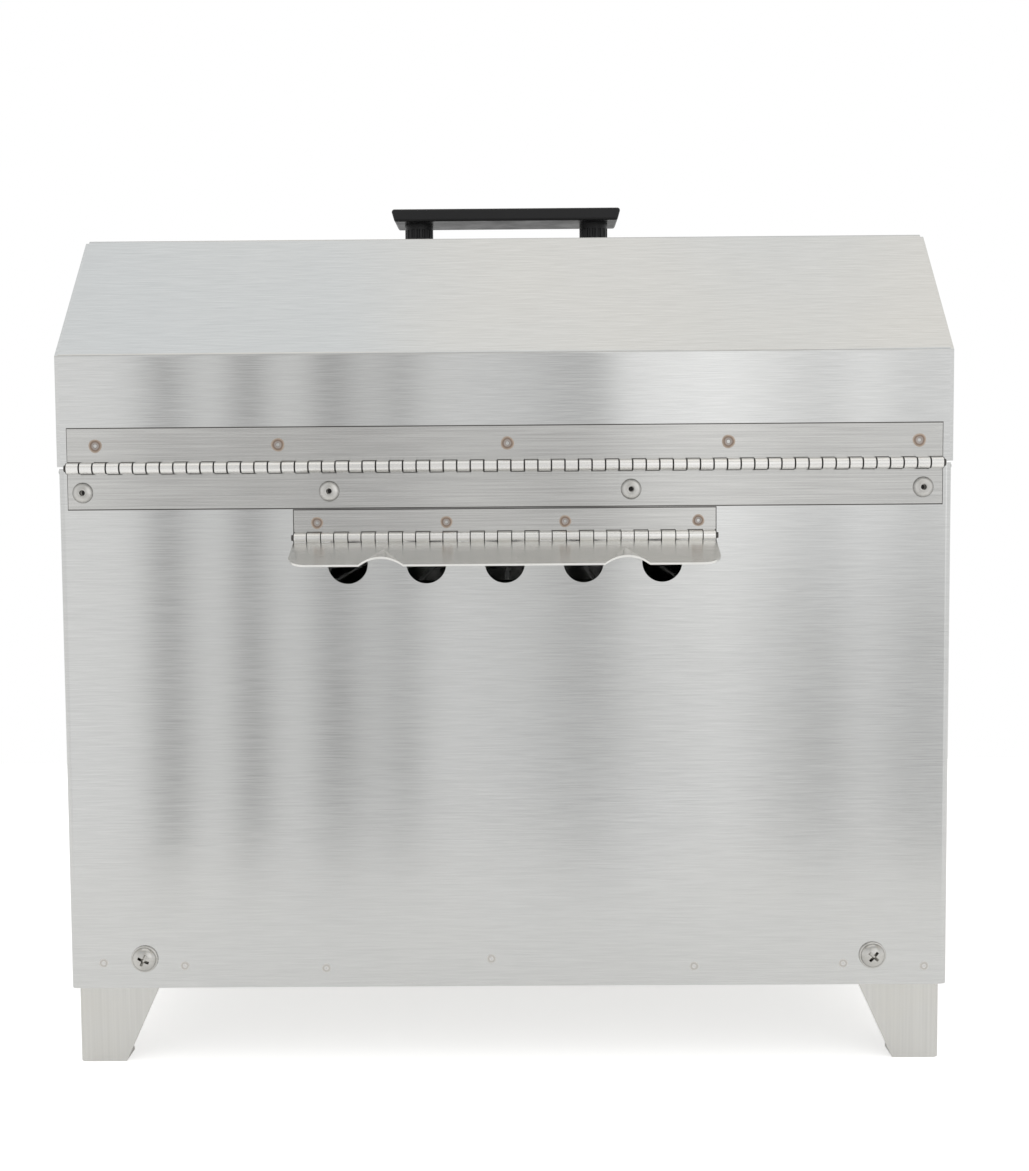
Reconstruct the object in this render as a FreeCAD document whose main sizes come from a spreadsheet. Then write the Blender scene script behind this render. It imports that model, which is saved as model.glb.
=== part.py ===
import FreeCAD, Part
import Sketcher
import os
from FreeCAD import Placement, Rotation, Vector

# Electric chest smoker: a folded sheet body on four angle legs with a rear-hinged chamfered lid.
# +Z is up, the ground is z = 0, the front faces -Y and the hinges are on the +Y side.

os.makedirs("parts", exist_ok=True)
doc = FreeCAD.newDocument("smoker")
sheet = doc.addObject("Spreadsheet::Sheet", "sizes")

driving_sizes = {
    # body and legs
    "body_width": 424, "body_depth": 360, "body_height": 251.5, "rear_y": 194, "wall": 1.0,
    "corner_bend": 3, "rim_bead": 3.2, "return_flange": 12, "leg_height": 37, "leg_reach": 21,
    "leg_wall": 1.5, "leg_width": 49, "leg_foot_width": 22.5, "foot_plate": 16, "floor_top": 23,
    "leg_screw_in": 36, "leg_screw_up": 14.5, "intake_radius": 6, "intake_pitch": 30,
    # lid
    "lid_overhang": 0.5, "lid_gap": 0.8, "lid_wall": 52.7, "lid_chamfer": 62, "lid_bend": 2.5,
    "gable_strip": 1.3, "gable_seam": 0.6,
    # piano hinges
    "leaf_wall": 1.0, "leaf_margin": 5, "leaf_up": 18.7, "leaf_down": 19.3, "knuckle": 6.36,
    "knuckle_gap": 0.25, "barrel_radius": 2.65, "pin_radius": 1.6, "pin_fit": 0.05,
    "barrel_stand_off": 0.3, "rivet_drop": 11.5, "rivet_hole": 2.4, "rivet_head": 4.9,
    # vent
    "vent_radius": 9.5, "vent_pitch": 37.4, "vent_up": 205.3, "vent_hinge_up": 218,
    "vent_leaf_length": 200, "vent_leaf_up": 13, "vent_barrel_radius": 2.45, "vent_pin_radius": 1.4,
    "flap_reach": 29.4, "flap_open": 70, "flap_corner": 9, "arch_x": 56.5,
    "arch_spread": 39, "arch_tilt": 27, "arch_start": 11,
    # handle
    "handle_top_length": 131, "handle_base_length": 127, "handle_depth": 35, "handle_bar": 7,
    "post_x": 50.5, "post_radius": 8.1, "post_height": 24.5, "flute_radius": 0.9, "handle_hole": 5,
    # fasteners
    "screw_radius": 3, "screw_head_radius": 6.5, "screw_head": 4, "screw_length": 11,
    "hole_play": 0.2, "nut_width": 10, "nut_height": 5, "cutter": 10, "small_head_radius": 3.8,
    "small_head": 2.4, "small_length": 5,
    # front controls
    "housing_width": 160, "housing_height": 92, "housing_depth": 42, "housing_x": 110,
    "housing_up": 24, "housing_wall": 1.2, "knob_radius": 21, "knob_depth": 16, "knob_gap": 0.8,
    "knob_x": -38, "switch_x": 28, "switch_up": 78, "lamp_radius": 4, "lamp_up": 36,
    "shaft_radius": 3, "neck_radius": 4.5, "small_screw": 1.9, "ear_width": 12, "ear_drop": 14,
    "block_half": 18, "block_depth": 24, "bulb_radius": 3, "bulb_length": 80, "bulb_up": 12,
    "capillary_radius": 1, "switch_half_x": 9.3, "switch_half_z": 14, "switch_depth": 18,
    "switch_lip": 1.5, "cavity_half_x": 6.7, "cavity_half_z": 12.7, "cavity_depth": 14,
    "rocker_back": 9, "rocker_radius": 12.4, "rocker_half": 6.4, "rocker_tilt": 8,
    "rocker_scoop": 38.4, "rocker_scoop_radius": 40, "inlet_half_y": 10, "inlet_half_z": 13.5,
    "inlet_lip": 3, "inlet_depth": 22, "mouth_half_y": 8.2, "mouth_half_z": 12,
    "mouth_depth": 16, "blade_half": 2,
    # chip drawer
    "drawer_x": -85, "drawer_width": 190, "drawer_height": 36, "drawer_depth": 170, "drawer_up": 52,
    "drawer_gap": 0.6, "drawer_front_wall": 1.5, "drawer_knob_radius": 9, "drawer_knob_depth": 20,
    "drawer_lap": 6, "pull_stem": 2, "runner_gap": 0.4, "runner_wall": 1.2,
    "runner_ledge": 8, "runner_fence": 16, "runner_past": 12,
    # inside
    "rod_radius": 4, "element_up": 44, "element_half_width": 125, "element_front": 60,
    "element_rear": 90, "element_bend": 30, "terminal_x": 30, "pan_up": 112, "rack_wall": 1.2,
    "rack_base": 100, "rack_top": 210, "ledge": 14, "lower_ledge": 132, "upper_ledge": 190,
    "grate_wire": 1.5,
    "grate_rim": 2.5, "grate_pitch": 15, "grate_play": 3, "rack_inset": 30, "drip_pan_height": 14,
    "flange_half_height": 11, "flange_wall": 2, "terminal_reach": 12, "stand_wall": 2,
    "stand_half_depth": 8,
    # latches and thermometer
    "latch_x": 140, "hook_wall": 2, "hook_width": 10, "pivot_drop": 40, "stud_up": 16,
    "hook_eye": 7, "hook_claw": 8.5, "hook_mouth": 12, "hook_tab": 7, "hook_clearance": 0.5,
    "stud_radius": 3, "gauge_radius": 30, "gauge_depth": 12, "gauge_stem": 5, "stem_length": 20,
    "gauge_nut_radius": 10, "gauge_nut_height": 4, "bezel_width": 3, "dial_wall": 0.8,
    "needle_half": 0.8,
    "needle_reach": 20, "needle_up": 5, "needle_hub": 3, "needle_spindle": 1.2, "cold_turn": 120,
}
for row, (word, value) in enumerate(driving_sizes.items(), 1):
    sheet.set(f"A{row}", word)
    sheet.set(f"B{row}", str(value))
    sheet.setAlias(f"B{row}", word)
doc.recompute()


class Sizes:
    """Gives sizes.word as the text of a sheet expression, so that formulas read like sums."""

    def __getattr__(self, word):
        return f"sizes.{word}"


def value_of(expression):
    return float(FreeCAD.Units.Quantity(sheet.evalExpression(str(expression))).Value)


S = Sizes()
made = {}

# levels and planes that several pieces share
front_y = f"({S.rear_y} - {S.body_depth})"
mid_y = f"({S.rear_y} - {S.body_depth} / 2)"
half_width = f"({S.body_width} / 2)"
base_z = S.leg_height
rim_z = f"({S.leg_height} + {S.body_height})"
floor_z = f"({S.leg_height} + {S.floor_top})"
lid_z = f"({rim_z} + {S.lid_gap})"
fold_z = f"({lid_z} + {S.lid_wall})"
top_z = f"({fold_z} + {S.lid_chamfer})"
inner_half = f"({half_width} - {S.wall})"
axis_y = f"({S.rear_y} + {S.barrel_stand_off} + {S.barrel_radius})"
vent_axis_y = f"({S.rear_y} + {S.barrel_stand_off} + {S.vent_barrel_radius})"
vent_axis_z = f"({base_z} + {S.vent_hinge_up})"
leg_screw_x = f"({half_width} - {S.leg_screw_in})"
leg_screw_z = f"({base_z} + {S.leg_screw_up})"
leaf_length = f"({S.body_width} - 2 * {S.leaf_margin})"
outward = {"rear": Rotation(Vector(1, 0, 0), -90), "front": Rotation(Vector(1, 0, 0), 90)}


def place(thing, x=0, y=0, z=0, turn=None):
    """Put an object at sheet expressions, turned by a fixed rotation."""
    thing.Placement = Placement(Vector(value_of(x), value_of(y), value_of(z)), turn or Rotation())
    for axis, expression in zip("xyz", (x, y, z)):
        thing.setExpression(f"Placement.Base.{axis}", str(expression))
    return thing


def bound(thing, **sizes):
    for name, expression in sizes.items():
        thing.setExpression(name, str(expression))
    return thing


def box(name, low, high):
    """A block between two corners given as expressions."""
    block = doc.addObject("Part::Box", name)
    length, width, height = (f"{b} - ({a})" for a, b in zip(low, high))
    bound(block, Length=length, Width=width, Height=height)
    return place(block, *low)


def rod(name, radius, length, x=0, y=0, z=0, turn=None):
    round_bar = doc.addObject("Part::Cylinder", name)
    bound(round_bar, Radius=radius, Height=length)
    return place(round_bar, x, y, z, turn)


def drill(name, radius, x, y, z):
    """A cutter through whatever sheet stands upright at y."""
    return rod(name, radius, S.cutter, x, f"{y} + {S.cutter} / 2", z, outward["front"])


def fuse(name, shapes):
    joined = doc.addObject("Part::MultiFuse", name)
    joined.Shapes = shapes
    return joined


def cut(name, base, *tools):
    """Cut every tool from the base."""
    result = doc.addObject("Part::Cut", name)
    result.Base = base
    result.Tool = tools[0] if len(tools) == 1 else group(f"{name}_tools", tools)
    return result


def group(name, shapes):
    together = doc.addObject("Part::Compound", name)
    together.Links = list(shapes)
    return together


def keep(node, thing):
    """Name a finished sub-part; its label names its file."""
    thing.Label = node
    made[node] = thing
    return thing


def outline(owner, name, points, circles=(), plane="XY_Plane", offset=None):
    """A sketch of one closed polygon, or of circles, with every size bound to the sheet."""
    maker = owner.newObject if owner else doc.addObject
    sketch = maker("Sketcher::SketchObject", name)
    count = len(points)
    spots = [Vector(value_of(a), value_of(b), 0) for a, b in points]
    for i in range(count):
        sketch.addGeometry(Part.LineSegment(spots[i], spots[(i + 1) % count]), False)
    for i in range(count):
        sketch.addConstraint(Sketcher.Constraint("Coincident", i, 2, (i + 1) % count, 1))
    for i, (a, b) in enumerate(points):
        pin_point(sketch, i, 1, a, b)
    for a, b, radius in circles:
        centre = Vector(value_of(a), value_of(b), 0)
        ring = sketch.addGeometry(Part.Circle(centre, Vector(0, 0, 1), value_of(radius)), False)
        pin_point(sketch, ring, 3, a, b)
        made_radius = sketch.addConstraint(Sketcher.Constraint("Radius", ring, value_of(radius)))
        sketch.setExpression(f"Constraints[{made_radius}]", str(radius))
    if owner:
        origin_plane = [f for f in owner.Origin.OriginFeatures if f.Role == plane][0]
        sketch.AttachmentSupport = [(origin_plane, "")]
        sketch.MapMode = "FlatFace"
        if offset is not None:
            sketch.setExpression("AttachmentOffset.Base.z", str(offset))
    return sketch


def pin_point(sketch, geometry, point, a, b):
    for kind, expression in (("DistanceX", a), ("DistanceY", b)):
        distance = Sketcher.Constraint(kind, -1, 1, geometry, point, value_of(expression))
        index = sketch.addConstraint(distance)
        sketch.setExpression(f"Constraints[{index}]", str(expression))


def padded(body, name, sketch, length, midplane=False, kind="PartDesign::Pad", through=False):
    """Pad or pocket a sketch; pockets report that they removed something."""
    before = body.Shape.Volume if kind.endswith("Pocket") else None
    feature = body.newObject(kind, name)
    feature.Profile = sketch
    if through:
        feature.Type = "ThroughAll"
    else:
        bound(feature, Length=length)
    feature.Midplane = midplane
    doc.recompute()
    if before is not None and not body.Shape.Volume < before - 1e-6:
        raise RuntimeError(f"{name} removes nothing")
    return feature


def new_body(name):
    return doc.addObject("PartDesign::Body", name)


def rounded(body, name, radius, chosen):
    """Fillet the edges of the body's tip for which chosen(edge) is true."""
    tip = body.Tip
    edges = [f"Edge{i}" for i, edge in enumerate(tip.Shape.Edges, 1) if chosen(edge)]
    if not edges:
        raise RuntimeError(f"{name} finds no edge")
    bend = body.newObject("PartDesign::Fillet", name)
    bend.Base = (tip, edges)
    bound(bend, Radius=radius)
    body.Tip = bend
    doc.recompute()
    return bend


def along(axis, *spots):
    """Choose straight edges along an axis that pass through one of the given cross points."""
    index = "XYZ".index(axis)
    wanted = [[value_of(c) for c in spot] for spot in spots]

    def chosen(edge):
        ends = [v.Point for v in edge.Vertexes]
        if len(ends) != 2:
            return False
        run = ends[1] - ends[0]
        if abs(run[index]) < 0.999 * run.Length:
            return False
        cross = [c for i, c in enumerate(ends[0]) if i != index]
        return any(abs(cross[0] - a) < 0.02 and abs(cross[1] - b) < 0.02 for a, b in wanted)

    return chosen


def revolved(name, points):
    """Turn a half profile of (radius, height) points about +Z."""
    profile = outline(None, f"{name}_profile", points)
    turned = doc.addObject("Part::Revolution", name)
    turned.Source = profile
    turned.Axis = Vector(0, 1, 0)
    turned.Angle = 360
    turned.Solid = True
    turned.Placement = Placement(Vector(), Rotation(Vector(1, 0, 0), 90))
    return turned


def copies(name, source, spots):
    """Separate copies of one piece; the source's +Z is turned towards each copy's direction."""
    links = []
    for i, (x, y, z, turn) in enumerate(spots):
        link = doc.addObject("App::Link", f"{name}_{i}")
        link.LinkedObject = source
        link.LinkTransform = True
        links.append(place(link, x, y, z, turn))
    return group(name, links)


# body sheet and front

corner_x = {"left": -1, "right": 1}


def leg_screw_circles(radius):
    return [(f"{side} * {leg_screw_x}", leg_screw_z, radius) for side in corner_x.values()]


leg_hole = f"({S.screw_radius} + {S.hole_play})"
rivet_x = [f"(9 - {leaf_length} / 2)", "-60", "83", f"({leaf_length} / 2 - 7)"]
rivet_z = f"({rim_z} - {S.rivet_drop})"

body_wrap = new_body("body_wrap")
wrap_plan = [
    (f"-{half_width}", front_y), (f"-{half_width}", S.rear_y), (half_width, S.rear_y),
    (half_width, front_y), (inner_half, front_y), (inner_half, f"{S.rear_y} - {S.wall}"),
    (f"-{inner_half}", f"{S.rear_y} - {S.wall}"), (f"-{inner_half}", front_y),
]
plan = outline(body_wrap, "wrap_plan", wrap_plan, offset=base_z)
padded(body_wrap, "wrap_walls", plan, S.body_height)
rounded(body_wrap, "outer_bends", S.corner_bend,
        along("Z", (f"-{half_width}", S.rear_y), (half_width, S.rear_y)))
rounded(body_wrap, "inner_bends", f"{S.corner_bend} - {S.wall}",
        along("Z", *(wrap_plan[5], wrap_plan[6])))
bead = f"({S.rim_bead} / 2)"
beads = [(f"{side} * ({half_width} - {bead})", f"{rim_z} - {bead}", bead) for side in (-1, 1)]
bead_circles = outline(body_wrap, "rim_beads", [], beads, "XZ_Plane", f"-({S.rear_y} - 1.5)")
padded(body_wrap, "rolled_rims", bead_circles, f"{S.body_depth} - {S.return_flange} - 2")
holes = [(f"{i - 2} * {S.vent_pitch}", f"{base_z} + {S.vent_up}", S.vent_radius) for i in range(5)]
holes += [(x, rivet_z, S.rivet_hole) for x in rivet_x] + leg_screw_circles(leg_hole)
rear_holes = outline(body_wrap, "rear_holes", [], holes, "XZ_Plane")
padded(body_wrap, "rear_openings", rear_holes, None, True, "PartDesign::Pocket", True)
keep("body_wrap", body_wrap)

# The front panel fits between the side walls; its side flanges lie against them.
front_panel = new_body("front_folded")
front_plan = [
    (f"-{inner_half}", front_y), (inner_half, front_y),
    (inner_half, f"{front_y} + {S.return_flange}"),
    (f"{inner_half} - {S.wall}", f"{front_y} + {S.return_flange}"),
    (f"{inner_half} - {S.wall}", f"{front_y} + {S.wall}"),
    (f"-{inner_half} + {S.wall}", f"{front_y} + {S.wall}"),
    (f"-{inner_half} + {S.wall}", f"{front_y} + {S.return_flange}"),
    (f"-{inner_half}", f"{front_y} + {S.return_flange}"),
]
panel_plan = outline(front_panel, "panel_plan", front_plan, offset=base_z)
padded(front_panel, "panel_walls", panel_plan, S.body_height)
rounded(front_panel, "panel_bends", f"{S.wall} + 0.5", along("Z", front_plan[0], front_plan[1]))

drawer_low = f"({base_z} + {S.drawer_up})"
drawer_hole = [
    (f"{S.drawer_x} {sx} ({S.drawer_width} / 2 + 1)", f"{drawer_low} {sz}")
    for sx, sz in (("-", "- 1"), ("+", "- 1"), ("+", f"+ {S.drawer_height} + 1"),
                   ("-", f"+ {S.drawer_height} + 1"))
]
drawer_opening = outline(front_panel, "drawer_opening", drawer_hole, (), "XZ_Plane")
padded(front_panel, "drawer_slot", drawer_opening, None, True, "PartDesign::Pocket", True)
element_z = f"({base_z} + {S.element_up})"
pivot_z = f"({rim_z} - {S.pivot_drop})"
terminal_hole = f"({S.rod_radius} + 1)"
bulb_z = f"({base_z} + {S.housing_up} + {S.housing_height} / 2 + {S.bulb_up})"
terminals = [(f"{S.housing_x} {s} {S.terminal_x}", element_z, terminal_hole) for s in "-+"]
panel_holes = leg_screw_circles(leg_hole) + terminals
panel_holes += [(f"{S.housing_x} + {S.knob_x}", bulb_z, 4)]
panel_holes += [(f"{side} * {S.latch_x}", pivot_z, S.rivet_hole) for side in (-1, 1)]
front_holes = outline(front_panel, "front_holes", [], panel_holes, "XZ_Plane")
padded(front_panel, "front_openings", front_holes, None, True, "PartDesign::Pocket", True)

# floor, legs and their screws

floor_low = f"({floor_z} - {S.wall})"
pan_x = f"({inner_half} - {S.wall})"
pan_back = f"({S.rear_y} - {S.wall})"
pan_front = f"({front_y} + {S.wall})"
pan_outer = box("pan_outer", (f"-{pan_x}", pan_front, base_z), (pan_x, pan_back, floor_z))
pan_inner = box("pan_inner", (f"-{pan_x} + {S.wall}", f"{pan_front} + {S.wall}", f"{base_z} - 1"),
                (f"{pan_x} - {S.wall}", f"{pan_back} - {S.wall}", floor_low))
pan_tools = [pan_inner]
corner_relief = f"({S.corner_bend} - {S.wall} + 0.5)"
for i in range(4):
    x = f"({-1 if i % 2 else 1} * {pan_x} - {corner_relief})"
    y = f"({pan_back if i < 2 else pan_front} - {corner_relief})"
    pan_tools.append(box(f"pan_relief_{i}", (x, y, f"{base_z} - 1"),
                         (f"{x} + 2 * {corner_relief}", f"{y} + 2 * {corner_relief}",
                          f"{floor_z} + 1")))
for i in range(6):
    x = f"({i} - 2.5) * {S.intake_pitch}"
    pan_tools.append(rod(f"intake_{i}", S.intake_radius, S.cutter, x, mid_y,
                         f"{floor_z} - {S.cutter} / 2"))
for name, y in (("rear", pan_back), ("front", pan_front)):
    for side in (-1, 1):
        pan_tools.append(drill(f"pan_hole_{name}_{side + 1}", leg_hole,
                              f"{side} * {leg_screw_x}", y, leg_screw_z))
keep("floor_pan", cut("floor_pan_sheet", pan_outer, *pan_tools))

leg_top = f"({base_z} + {S.leg_reach})"
leg_back = f"({pan_back} - {S.wall})"
leg_front_face = f"({pan_front} + {S.wall})"
leg_side = f"({pan_x} - {S.wall})"


def leg(node, side, face_y, inward):
    """An angle bracket: two tapered flanges and a foot plate turned inwards."""
    x0 = f"({side} * {leg_side})"
    to_x = f"({-side})"
    to_y = f"({inward})"
    body = new_body(node)
    taper = [(x0, "0"), (f"{x0} + {to_x} * {S.leg_foot_width}", "0"),
             (f"{x0} + {to_x} * {S.leg_width}", leg_top), (x0, leg_top)]
    rear = outline(body, f"{node}_face", taper, (), "XZ_Plane", f"-({face_y})")
    plate = padded(body, f"{node}_plate", rear, S.leg_wall)
    plate.Reversed = inward > 0
    taper_y = [(face_y, "0"), (f"{face_y} + {to_y} * {S.leg_foot_width}", "0"),
               (f"{face_y} + {to_y} * {S.leg_width}", leg_top), (face_y, leg_top)]
    flank = outline(body, f"{node}_flank", taper_y, (), "YZ_Plane", x0)
    wing = padded(body, f"{node}_wing", flank, S.leg_wall)
    wing.Reversed = side > 0
    square = [(x0, face_y), (f"{x0} + {to_x} * {S.leg_foot_width}", face_y),
              (f"{x0} + {to_x} * {S.leg_foot_width}", f"{face_y} + {to_y} * {S.foot_plate}"),
              (f"{x0} + {to_x} * {S.foot_plate}", f"{face_y} + {to_y} * {S.leg_foot_width}"),
              (x0, f"{face_y} + {to_y} * {S.leg_foot_width}")]
    sole = outline(body, f"{node}_sole", square)
    padded(body, f"{node}_foot", sole, S.leg_wall)
    bolt = outline(body, f"{node}_bolt", [], [(f"{side} * {leg_screw_x}", leg_screw_z, leg_hole)],
                   "XZ_Plane")
    padded(body, f"{node}_hole", bolt, None, True, "PartDesign::Pocket", True)
    rounded(body, f"{node}_fold", f"{S.leg_wall} + 1.5", along("Z", (x0, face_y)))
    keep(node, body)


for name, side in corner_x.items():
    leg(f"leg_rear_{name}", side, leg_back, -1)
    leg(f"leg_front_{name}", side, leg_front_face, 1)


def phillips_screw(name, radius, head_radius, head, length):
    """A domed head over a flat rim, with a cross recess, on a plain shank."""
    low, mid = f"0.3 * {head}", f"0.8 * {head}"
    solid = revolved(f"{name}_solid", [
        ("0", f"-({length})"), (radius, f"-({length})"), (radius, "0"), (head_radius, "0"),
        (head_radius, low), (f"0.8 * {head_radius}", mid), (f"0.45 * {head_radius}", head),
        ("0", head)])
    slot, reach = f"0.09 * {head_radius}", f"0.5 * {head_radius}"
    depth = f"0.45 * {head}"
    one = box(f"{name}_slot_x", (f"-{reach}", f"-{slot}", depth), (reach, slot, f"{head} + 1"))
    two = box(f"{name}_slot_y", (f"-{slot}", f"-{reach}", depth), (slot, reach, f"{head} + 1"))
    return cut(f"{name}_master", solid, one, two)


leg_screw = phillips_screw("leg_screw", S.screw_radius, S.screw_head_radius, S.screw_head,
                           S.screw_length)
screw_spots = [(f"{side} * {leg_screw_x}", y, leg_screw_z, outward[face])
               for face, y in (("rear", S.rear_y), ("front", front_y)) for side in (-1, 1)]
keep("leg_screws", copies("leg_screw_set", leg_screw, screw_spots))

nut_body = doc.addObject("Part::Prism", "nut_body")
nut_body.Polygon = 6
bound(nut_body, Circumradius=f"{S.nut_width} / sqrt(3)", Height=S.nut_height)
nut_bore = rod("nut_bore", S.screw_radius, f"{S.nut_height} + 2", 0, 0, -1)
leg_nut = cut("leg_nut_master", nut_body, nut_bore)
nut_set_back = f"(2 * {S.wall} + {S.leg_wall})"
nut_spots = [(f"{side} * {leg_screw_x}", y, leg_screw_z, outward[face])
             for face, y in (("front", f"{S.rear_y} - {nut_set_back}"),
                             ("rear", f"{front_y} + {nut_set_back}")) for side in (-1, 1)]
keep("leg_nuts", copies("leg_nut_set", leg_nut, nut_spots))

# piano hinges

lying = Rotation(Vector(0, 1, 0), 90)


def comb(name, length, first, centre_y, centre_z, reach, half_height):
    """Blocks that clear every second knuckle of a hinge leaf."""
    count = round(value_of(length) / value_of(S.knuckle))
    start = f"(-{length} / 2)"
    blocks = []
    for i in range(first, count, 2):
        low = (f"{start} + {i} * {length} / {count} - {S.knuckle_gap} / 2",
               f"{centre_y} - {reach}", f"{centre_z} - {half_height}")
        high = (f"{start} + {i + 1} * {length} / {count} + {S.knuckle_gap} / 2",
                f"{centre_y} + {reach}", f"{centre_z} + {half_height}")
        blocks.append(box(f"{name}_{i}", low, high))
    return blocks


def hinge_leaf(name, length, plate_low, plate_high, centre_y, centre_z, barrel, pin, first,
               plate_y=S.rear_y, holes=()):
    """A flat leaf whose edge is rolled into every second knuckle of the barrel."""
    start = f"(-{length} / 2)"
    plate = box(f"{name}_plate", (start, plate_y, plate_low),
                (f"{length} / 2", f"{plate_y} + {S.leaf_wall}", plate_high))
    tube = rod(f"{name}_tube", barrel, length, start, centre_y, centre_z, lying)
    joined = fuse(f"{name}_blank", [plate, tube])
    bore = rod(f"{name}_bore", f"{pin} + {S.pin_fit}", f"{length} + 2", f"{start} - 1",
               centre_y, centre_z, lying)
    reach = f"({barrel} + 1)"
    clear = f"({barrel} + 0.4)"
    tools = [bore, *comb(f"{name}_comb", length, first, centre_y, centre_z, reach, clear), *holes]
    return cut(f"{name}_leaf", joined, *tools)


rivet_bores = [drill(f"leaf_hole_{i}", S.rivet_hole, x, S.rear_y, rivet_z)
               for i, x in enumerate(rivet_x)]
keep("body_hinge_leaf", hinge_leaf(
    "lower", leaf_length, f"{rim_z} - {S.leaf_down}", rim_z, axis_y, rim_z, S.barrel_radius,
    S.pin_radius, 1, holes=rivet_bores))
keep("lid_hinge_leaf", hinge_leaf(
    "upper", leaf_length, rim_z, f"{rim_z} + {S.leaf_up}", axis_y, rim_z, S.barrel_radius,
    S.pin_radius, 0))
keep("lid_hinge_pin", rod("main_pin", S.pin_radius, f"{leaf_length} + 2",
                          f"-{leaf_length} / 2 - 1", axis_y, rim_z, lying))

# Blind rivets: a domed flange with the broken mandrel's hole, and a set tail behind the sheet.
grip = f"({S.wall} + {S.leaf_wall})"
rivet = revolved("rivet_master", [
    ("1.2", "0"), ("1.2", "1.7"), ("2.2", "1.6"), (f"0.8 * {S.rivet_head}", "0.9"),
    (S.rivet_head, "0.2"), (S.rivet_head, "0"), (S.rivet_hole, "0"),
    (S.rivet_hole, f"-{grip}"), ("3.2", f"-{grip}"), ("3.2", f"-{grip} - 2.5"),
    ("0", f"-{grip} - 2.5"), ("0", "0")])
rivet_spots = [(x, f"{S.rear_y} + {S.leaf_wall}", rivet_z, outward["rear"]) for x in rivet_x]
keep("hinge_rivets", copies("hinge_rivet_set", rivet, rivet_spots))

keep("vent_hinge_leaf", hinge_leaf(
    "vent", S.vent_leaf_length, vent_axis_z, f"{vent_axis_z} + {S.vent_leaf_up}", vent_axis_y,
    vent_axis_z, S.vent_barrel_radius, S.vent_pin_radius, 1))
keep("vent_hinge_pin", rod("small_pin", S.vent_pin_radius, f"{S.vent_leaf_length} + 2",
                           f"-{S.vent_leaf_length} / 2 - 1", vent_axis_y, vent_axis_z, lying))

# The flap is drawn hanging and then turned open about its pin.
flap_y = f"({vent_axis_y} - {S.vent_barrel_radius})"
flap_low = f"({vent_axis_z} - {S.flap_reach})"
flap_half = f"({S.vent_leaf_length} / 2)"
flap_plate = new_body("flap_plate")
flap_face = outline(flap_plate, "flap_face", [
    (f"-{flap_half}", vent_axis_z), (f"-{flap_half}", flap_low), (flap_half, flap_low),
    (flap_half, vent_axis_z)], (), "XZ_Plane", f"-({flap_y} + {S.leaf_wall})")
padded(flap_plate, "flap_sheet", flap_face, S.leaf_wall)
rounded(flap_plate, "flap_corners", S.flap_corner,
        lambda edge: abs(edge.BoundBox.YLength - value_of(S.leaf_wall)) < 0.01
        and edge.BoundBox.XLength < 0.01 and edge.BoundBox.ZLength < 0.01
        and abs(edge.Vertexes[0].Z - value_of(flap_low)) < 0.01)
flap_tube = rod("flap_tube", S.vent_barrel_radius, S.vent_leaf_length, f"-{flap_half}",
                vent_axis_y, vent_axis_z, lying)


def arch_cone(name, side, y):
    """A tilted cone whose outer side rises from the flap's face towards its free edge."""
    horn = doc.addObject("Part::Cone", name)
    bound(horn, Radius1="0", Radius2=f"30 * tan({S.arch_spread} * 1 deg)", Height="30")
    turn = Rotation(Vector(1, 0, 0), 180 - value_of(S.arch_tilt))
    return place(horn, f"{side} * {S.arch_x}", y, f"{flap_low} + {S.flap_reach} - {S.arch_start}",
                 turn)


arches = []
bites = []
for side in (-1, 1):
    trim = box(f"arch_trim_{side + 1}", (f"{side} * {S.arch_x} - 15", flap_y, flap_low),
               (f"{side} * {S.arch_x} + 15", f"{flap_y} + 12", vent_axis_z))
    bow = doc.addObject("Part::Common", f"arch_{side + 1}")
    bow.Base = arch_cone(f"arch_outer_{side + 1}", side, f"{flap_y} + {S.leaf_wall}")
    bow.Tool = trim
    arches.append(bow)
    bites.append(arch_cone(f"arch_inner_{side + 1}", side, f"{flap_y} - 0.05"))
flap_blank = fuse("flap_blank", [flap_plate, flap_tube, *arches])
flap_bore = rod("flap_bore", f"{S.vent_pin_radius} + {S.pin_fit}", f"{S.vent_leaf_length} + 2",
                f"-{flap_half} - 1", vent_axis_y, vent_axis_z, lying)
flap_comb = comb("flap_comb", S.vent_leaf_length, 0, vent_axis_y, vent_axis_z,
                 f"({S.vent_barrel_radius} + 1.5)", f"({S.vent_barrel_radius} + 0.4)")
flap_hanging = cut("flap_hanging", flap_blank, flap_bore, *flap_comb, *bites)
vent_flap = doc.addObject("App::Link", "flap_turned")
vent_flap.LinkedObject = flap_hanging
swing = Placement(Vector(), Rotation(Vector(1, 0, 0), value_of(S.flap_open)),
                  Vector(0, value_of(vent_axis_y), value_of(vent_axis_z)))
vent_flap.Placement = swing
keep("vent_flap", group("vent_flap_open", [vent_flap]))

# lid

half_fold = "tan(22.5 * 1 deg)"


def lid_profile(depth):
    """The lid's five faces as a polygon, set in from its outer skin by depth."""
    shift = f"({depth}) * {half_fold}"
    back, front = f"({S.rear_y} - ({depth}))", f"({front_y} + ({depth}))"
    return [
        (back, lid_z), (back, f"{fold_z} - {shift}"),
        (f"{S.rear_y} - {S.lid_chamfer} - {shift}", f"{top_z} - ({depth})"),
        (f"{front_y} + {S.lid_chamfer} + {shift}", f"{top_z} - ({depth})"),
        (front, f"{fold_z} - {shift}"), (front, lid_z)]


def lid_band(owner, name, outer, inner, offset=None):
    """The open band between two depths of the lid's profile."""
    points = lid_profile(outer) + lid_profile(inner)[::-1]
    return outline(owner, name, points, (), "YZ_Plane", offset)


lid_half = f"({half_width} + {S.lid_overhang})"
wrap_half = f"({lid_half} - {S.gable_strip} - {S.gable_seam})"
inner_bend = f"({S.lid_bend} - {S.wall})"

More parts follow.
